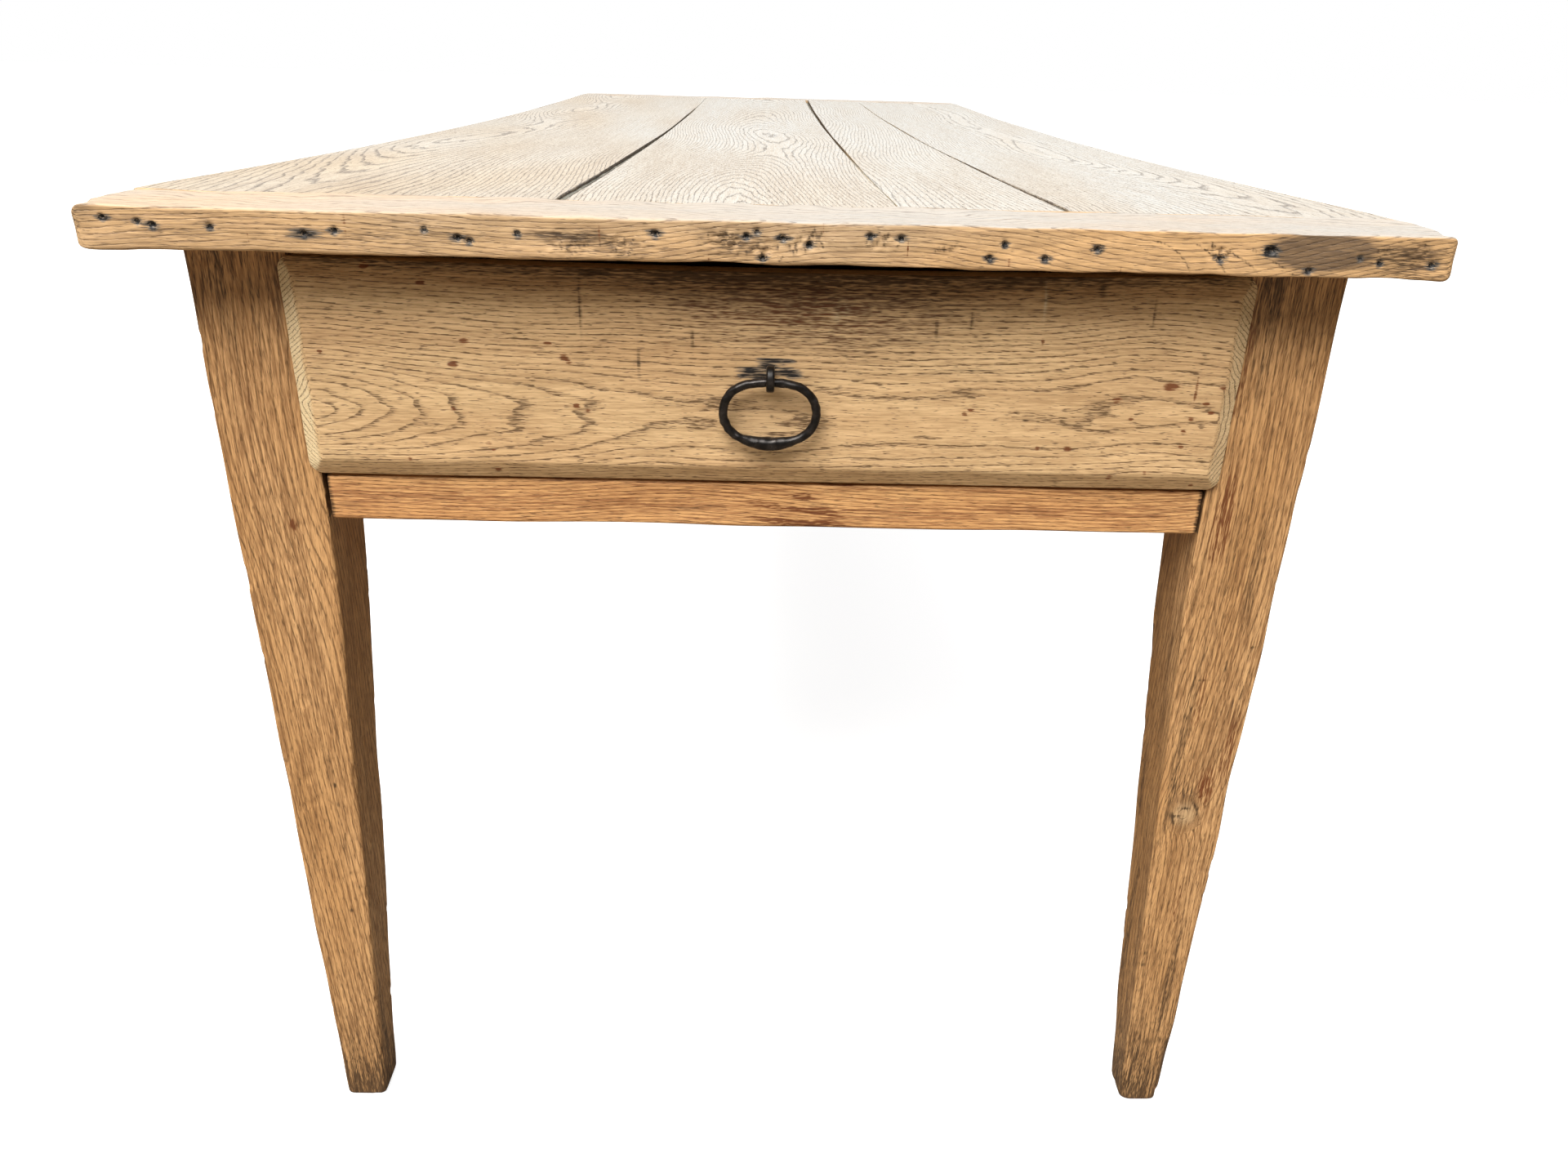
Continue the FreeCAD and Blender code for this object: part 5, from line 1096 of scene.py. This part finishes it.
# %% Forged iron
def forged_iron(name, dark, worn, rust):
    """Hand-forged iron, rubbed dark: hammer flats, a low gloss with soft grey lights, brown in hollows."""
    material = bpy.data.materials.new(name)
    tree = bare_tree(material)
    place = node(tree, "ShaderNodeTexCoord", out="Object")
    patch = node(tree, "ShaderNodeTexNoise", {"Vector": place, "Scale": 1 / (7 * MM), "Detail": 4.0})
    grit = node(tree, "ShaderNodeTexNoise", {"Vector": place, "Scale": 1 / (1.2 * MM), "Detail": 2.0})
    rubbed = node(tree, "ShaderNodeMapRange", {0: patch, 1: 0.4, 2: 0.65})
    brown = node(tree, "ShaderNodeMapRange", {0: grit, 1: 0.58, 2: 0.75, 4: 0.6})
    metal = node(tree, "ShaderNodeMix", {0: rubbed, 6: srgb(dark), 7: srgb(worn)}, out=2, data_type="RGBA")
    colour = node(tree, "ShaderNodeMix", {0: brown, 6: metal, 7: srgb(rust)}, out=2, data_type="RGBA")
    gloss = node(tree, "ShaderNodeMapRange", {0: patch, 1: 0.3, 2: 0.7, 3: 0.42, 4: 0.22})
    hammered = node(tree, "ShaderNodeMath", {0: grit, 1: 0.3, 2: patch}, operation="MULTIPLY_ADD")
    bump = node(tree, "ShaderNodeBump", {"Height": hammered, "Strength": 0.4, "Distance": 0.5 * MM},
                out="Normal")
    shader = node(tree, "ShaderNodeBsdfPrincipled", {"Base Color": colour, "Roughness": gloss, "Normal": bump,
                                                     "Metallic": 0.6})
    node(tree, "ShaderNodeOutputMaterial", {"Surface": shader})
    return material


pull_iron = forged_iron("iron_forged_and_rubbed", "#141211", "#35312F", "#241A14")

# %% Ring
RING_WIDE, RING_HIGH, RING_BOW, RING_END = 59.4 * MM, 39.4 * MM, 70 * MM, 18.46 * MM
RING_AXIS_Y, RING_AXIS_Z = -998.5 * MM, 658.8 * MM
BAR_RADIUS, BAR_UNEVEN = 2.8 * MM, 0.12 * MM
GRIP_RADIUS, GRIP_LONG, GRIP_DROP = 4.4 * MM, 36 * MM, 0.9 * MM


def ring_path(count):
    """The ring's centre line (x, z) and its outward normals: an oval of four arcs, walked at an even pace.

    The normal turns evenly along an arc, and a point is the arc's middle plus its radius times the normal.
    """
    off_x, off_z = RING_WIDE / 2 - RING_END, RING_BOW - RING_HIGH / 2
    meet = math.atan2(off_z, off_x)
    turns = np.array([-meet, meet, np.pi - meet, np.pi + meet, 2 * np.pi - meet])
    radii = np.array([RING_END, RING_BOW, RING_END, RING_BOW])
    middles = np.array([(off_x, 0), (0, -off_z), (-off_x, 0), (0, off_z)])
    walked = np.concatenate([[0], np.cumsum(radii * np.diff(turns))])
    pace = np.linspace(0, walked[-1], count, endpoint=False)
    turned = np.interp(pace, walked, turns)
    arc = np.searchsorted(walked, pace, side="right") - 1
    outwards = np.column_stack([np.cos(turned), np.sin(turned)])
    return middles[arc] + radii[arc][:, None] * outwards, outwards


line, outwards = ring_path(260)
# the grip swells like a spindle and hangs a little low, so that it shows more below than above
grip = np.where(line[:, 1] < 0, np.maximum(1 - (2 * line[:, 0] / GRIP_LONG) ** 2, 0) ** 1.2, 0)
bar = BAR_RADIUS + (GRIP_RADIUS - BAR_RADIUS) * grip
centre = np.column_stack([line[:, 0], np.full(len(line), RING_AXIS_Y),
                          line[:, 1] + RING_AXIS_Z - RING_HIGH / 2 - GRIP_DROP * grip])
around = np.linspace(0, 2 * np.pi, 32, endpoint=False)
spoke = (np.cos(around)[None, :, None] * np.column_stack([outwards[:, 0], 0 * bar, outwards[:, 1]])[:, None]
         + np.sin(around)[None, :, None] * np.array([0, -1, 0]))
rings = centre[:, None] + spoke * bar[:, None, None]
rings += spoke * (BAR_UNEVEN * ripple(rings, 0.007, 71))[..., None]
skin("pull_ring_forged", rings[::-1], "ring", ["pull_ring"], pull_iron, looped=True)

# %% Split pin
EYE_Y, EYE_Z, EYE_RADIUS = RING_AXIS_Y, 661.1 * MM, 7.0 * MM
STRAP_WIDE, STRAP_THICK, STRAP_ARRIS = 5.2 * MM, 3.2 * MM, 1.4 * MM
PIN_LEG = 1.75 * MM
CLENCH_Y, CLENCH_REACH = -963.4 * MM, 17.5 * MM


def pin_path(count):
    """The pin's centre line as y and z: down the clenched tip, out through the wood, round the eye and back.

    Straight runs and the eye's arc are joined, smoothed by averaging neighbours, and walked at an even pace.
    """
    turn_from = math.asin(PIN_LEG / EYE_RADIUS)
    sweep = np.linspace(turn_from, 2 * np.pi - turn_from, 300)
    eye = np.column_stack([EYE_Y + EYE_RADIUS * np.cos(sweep), EYE_Z + EYE_RADIUS * np.sin(sweep)])
    tip = np.column_stack([np.full(150, CLENCH_Y), EYE_Z + np.linspace(CLENCH_REACH, PIN_LEG, 150)])
    shank = np.column_stack([np.linspace(CLENCH_Y, eye[0, 0], 300), np.full(300, EYE_Z + PIN_LEG)])
    upper = np.vstack([tip, shank[1:]])
    lower = upper[::-1] * [1, -1] + [0, 2 * EYE_Z]
    path = np.vstack([upper, eye[1:-1], lower])
    walked = np.concatenate([[0], np.cumsum(np.hypot(*np.diff(path, axis=0).T))])
    pace = np.linspace(0, walked[-1], count)
    even = np.column_stack([np.interp(pace, walked, column) for column in path.T])
    span = 5
    padded = np.vstack([np.repeat(even[:1], span, axis=0), even, np.repeat(even[-1:], span, axis=0)])
    return sum(np.roll(padded, step, axis=0) for step in range(-span, span + 1))[span:-span] / (2 * span + 1)


path = pin_path(260)
ahead = np.gradient(path, axis=0)
ahead /= np.hypot(*ahead.T)[:, None]
flank = np.column_stack([ahead[:, 1], -ahead[:, 0]])
side_a, side_b, normal_a, normal_b = section(4, 4, 4, 4).T
strap_a = side_a * (STRAP_THICK / 2 - STRAP_ARRIS) + normal_a * STRAP_ARRIS
strap_b = side_b * (STRAP_WIDE / 2 - STRAP_ARRIS) + normal_b * STRAP_ARRIS
rings = np.empty((len(path), strap_a.size, 3))
rings[..., 0] = strap_b
rings[..., 1] = path[:, :1] + flank[:, :1] * strap_a
rings[..., 2] = path[:, 1:] + flank[:, 1:] * strap_a
skin("ring_staple_forged", rings, "drawer", ["ring_staple"], pull_iron)

# %% [markdown]
# ## The pieces that keep their CAD shape
# The drawer's box, its runners and the cleats were sawn or planed square and never handled, and little shows
# of screws, nails and pegs, so the CAD shapes are right. They only need their own finishes: plain planed
# oak for the drawer, darker sawn oak for what is under the top, riven oak for pegs, and dull iron for
# screws and nails.

# %% Finishes of the kept pieces
def finish_nodes(material, *names):
    """Gives CAD nodes a finish in place of the flat colour they came with."""
    for name in names:
        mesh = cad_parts[name].data
        mesh.materials.clear()
        mesh.materials.append(material)


# tones of planed, sawn and riven oak, then how wide their years are in mm and how rough they are
PLANED_SIDE = "#C8A67A", "#B48F62", "#8C6A45", "#4B3825", 3.0, 0.66
PLANED_CROSS = "#C4A074", "#AE885B", "#866341", "#483522", 3.0, 0.66
SAWN = "#A88457", "#8F6C43", "#6A4C2D", "#36271A", 3.0, 0.74
RIVEN = "#8C643C", "#74502D", "#55381F", "#2C1D12", 1.6, 0.6
finish_nodes(oak("oak_planed_drawer_side", "y", *PLANED_SIDE, (-180, 0, 560)),
             "drawer_side_left", "drawer_side_right")
finish_nodes(oak("oak_planed_drawer_back", "x", *PLANED_CROSS, (0, -560, 540)),
             "drawer_back", "drawer_bottom_1", "drawer_bottom_2", "drawer_bottom_3")
finish_nodes(oak("oak_sawn_inside", "y", *SAWN, (0, 0, 640)),
             "drawer_runner_left", "drawer_runner_right", "drawer_guide_left", "drawer_guide_right",
             "top_cleat_front_left", "top_cleat_front_right", "top_cleat_back_left", "top_cleat_back_right",
             "top_spline_1", "top_spline_2", "top_spline_3")
finish_nodes(oak("oak_sawn_cross_pieces", "x", *SAWN, (0, -200, 500)), "cross_bearer", "top_batten")
finish_nodes(oak("oak_riven_pegs_side", "x", *RIVEN, (0, -930, 590)), "rail_pegs_left", "rail_pegs_right")
finish_nodes(oak("oak_riven_pegs_back", "y", *RIVEN, (300, 0, 590)), "back_rail_pegs")
finish_nodes(forged_iron("iron_dull_and_rusted", "#3B332E", "#57504A", "#5A3A26"),
             "top_screws", "bottom_nails")
print("kept CAD pieces:", sum(1 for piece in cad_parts.values() if not piece.hide_render))
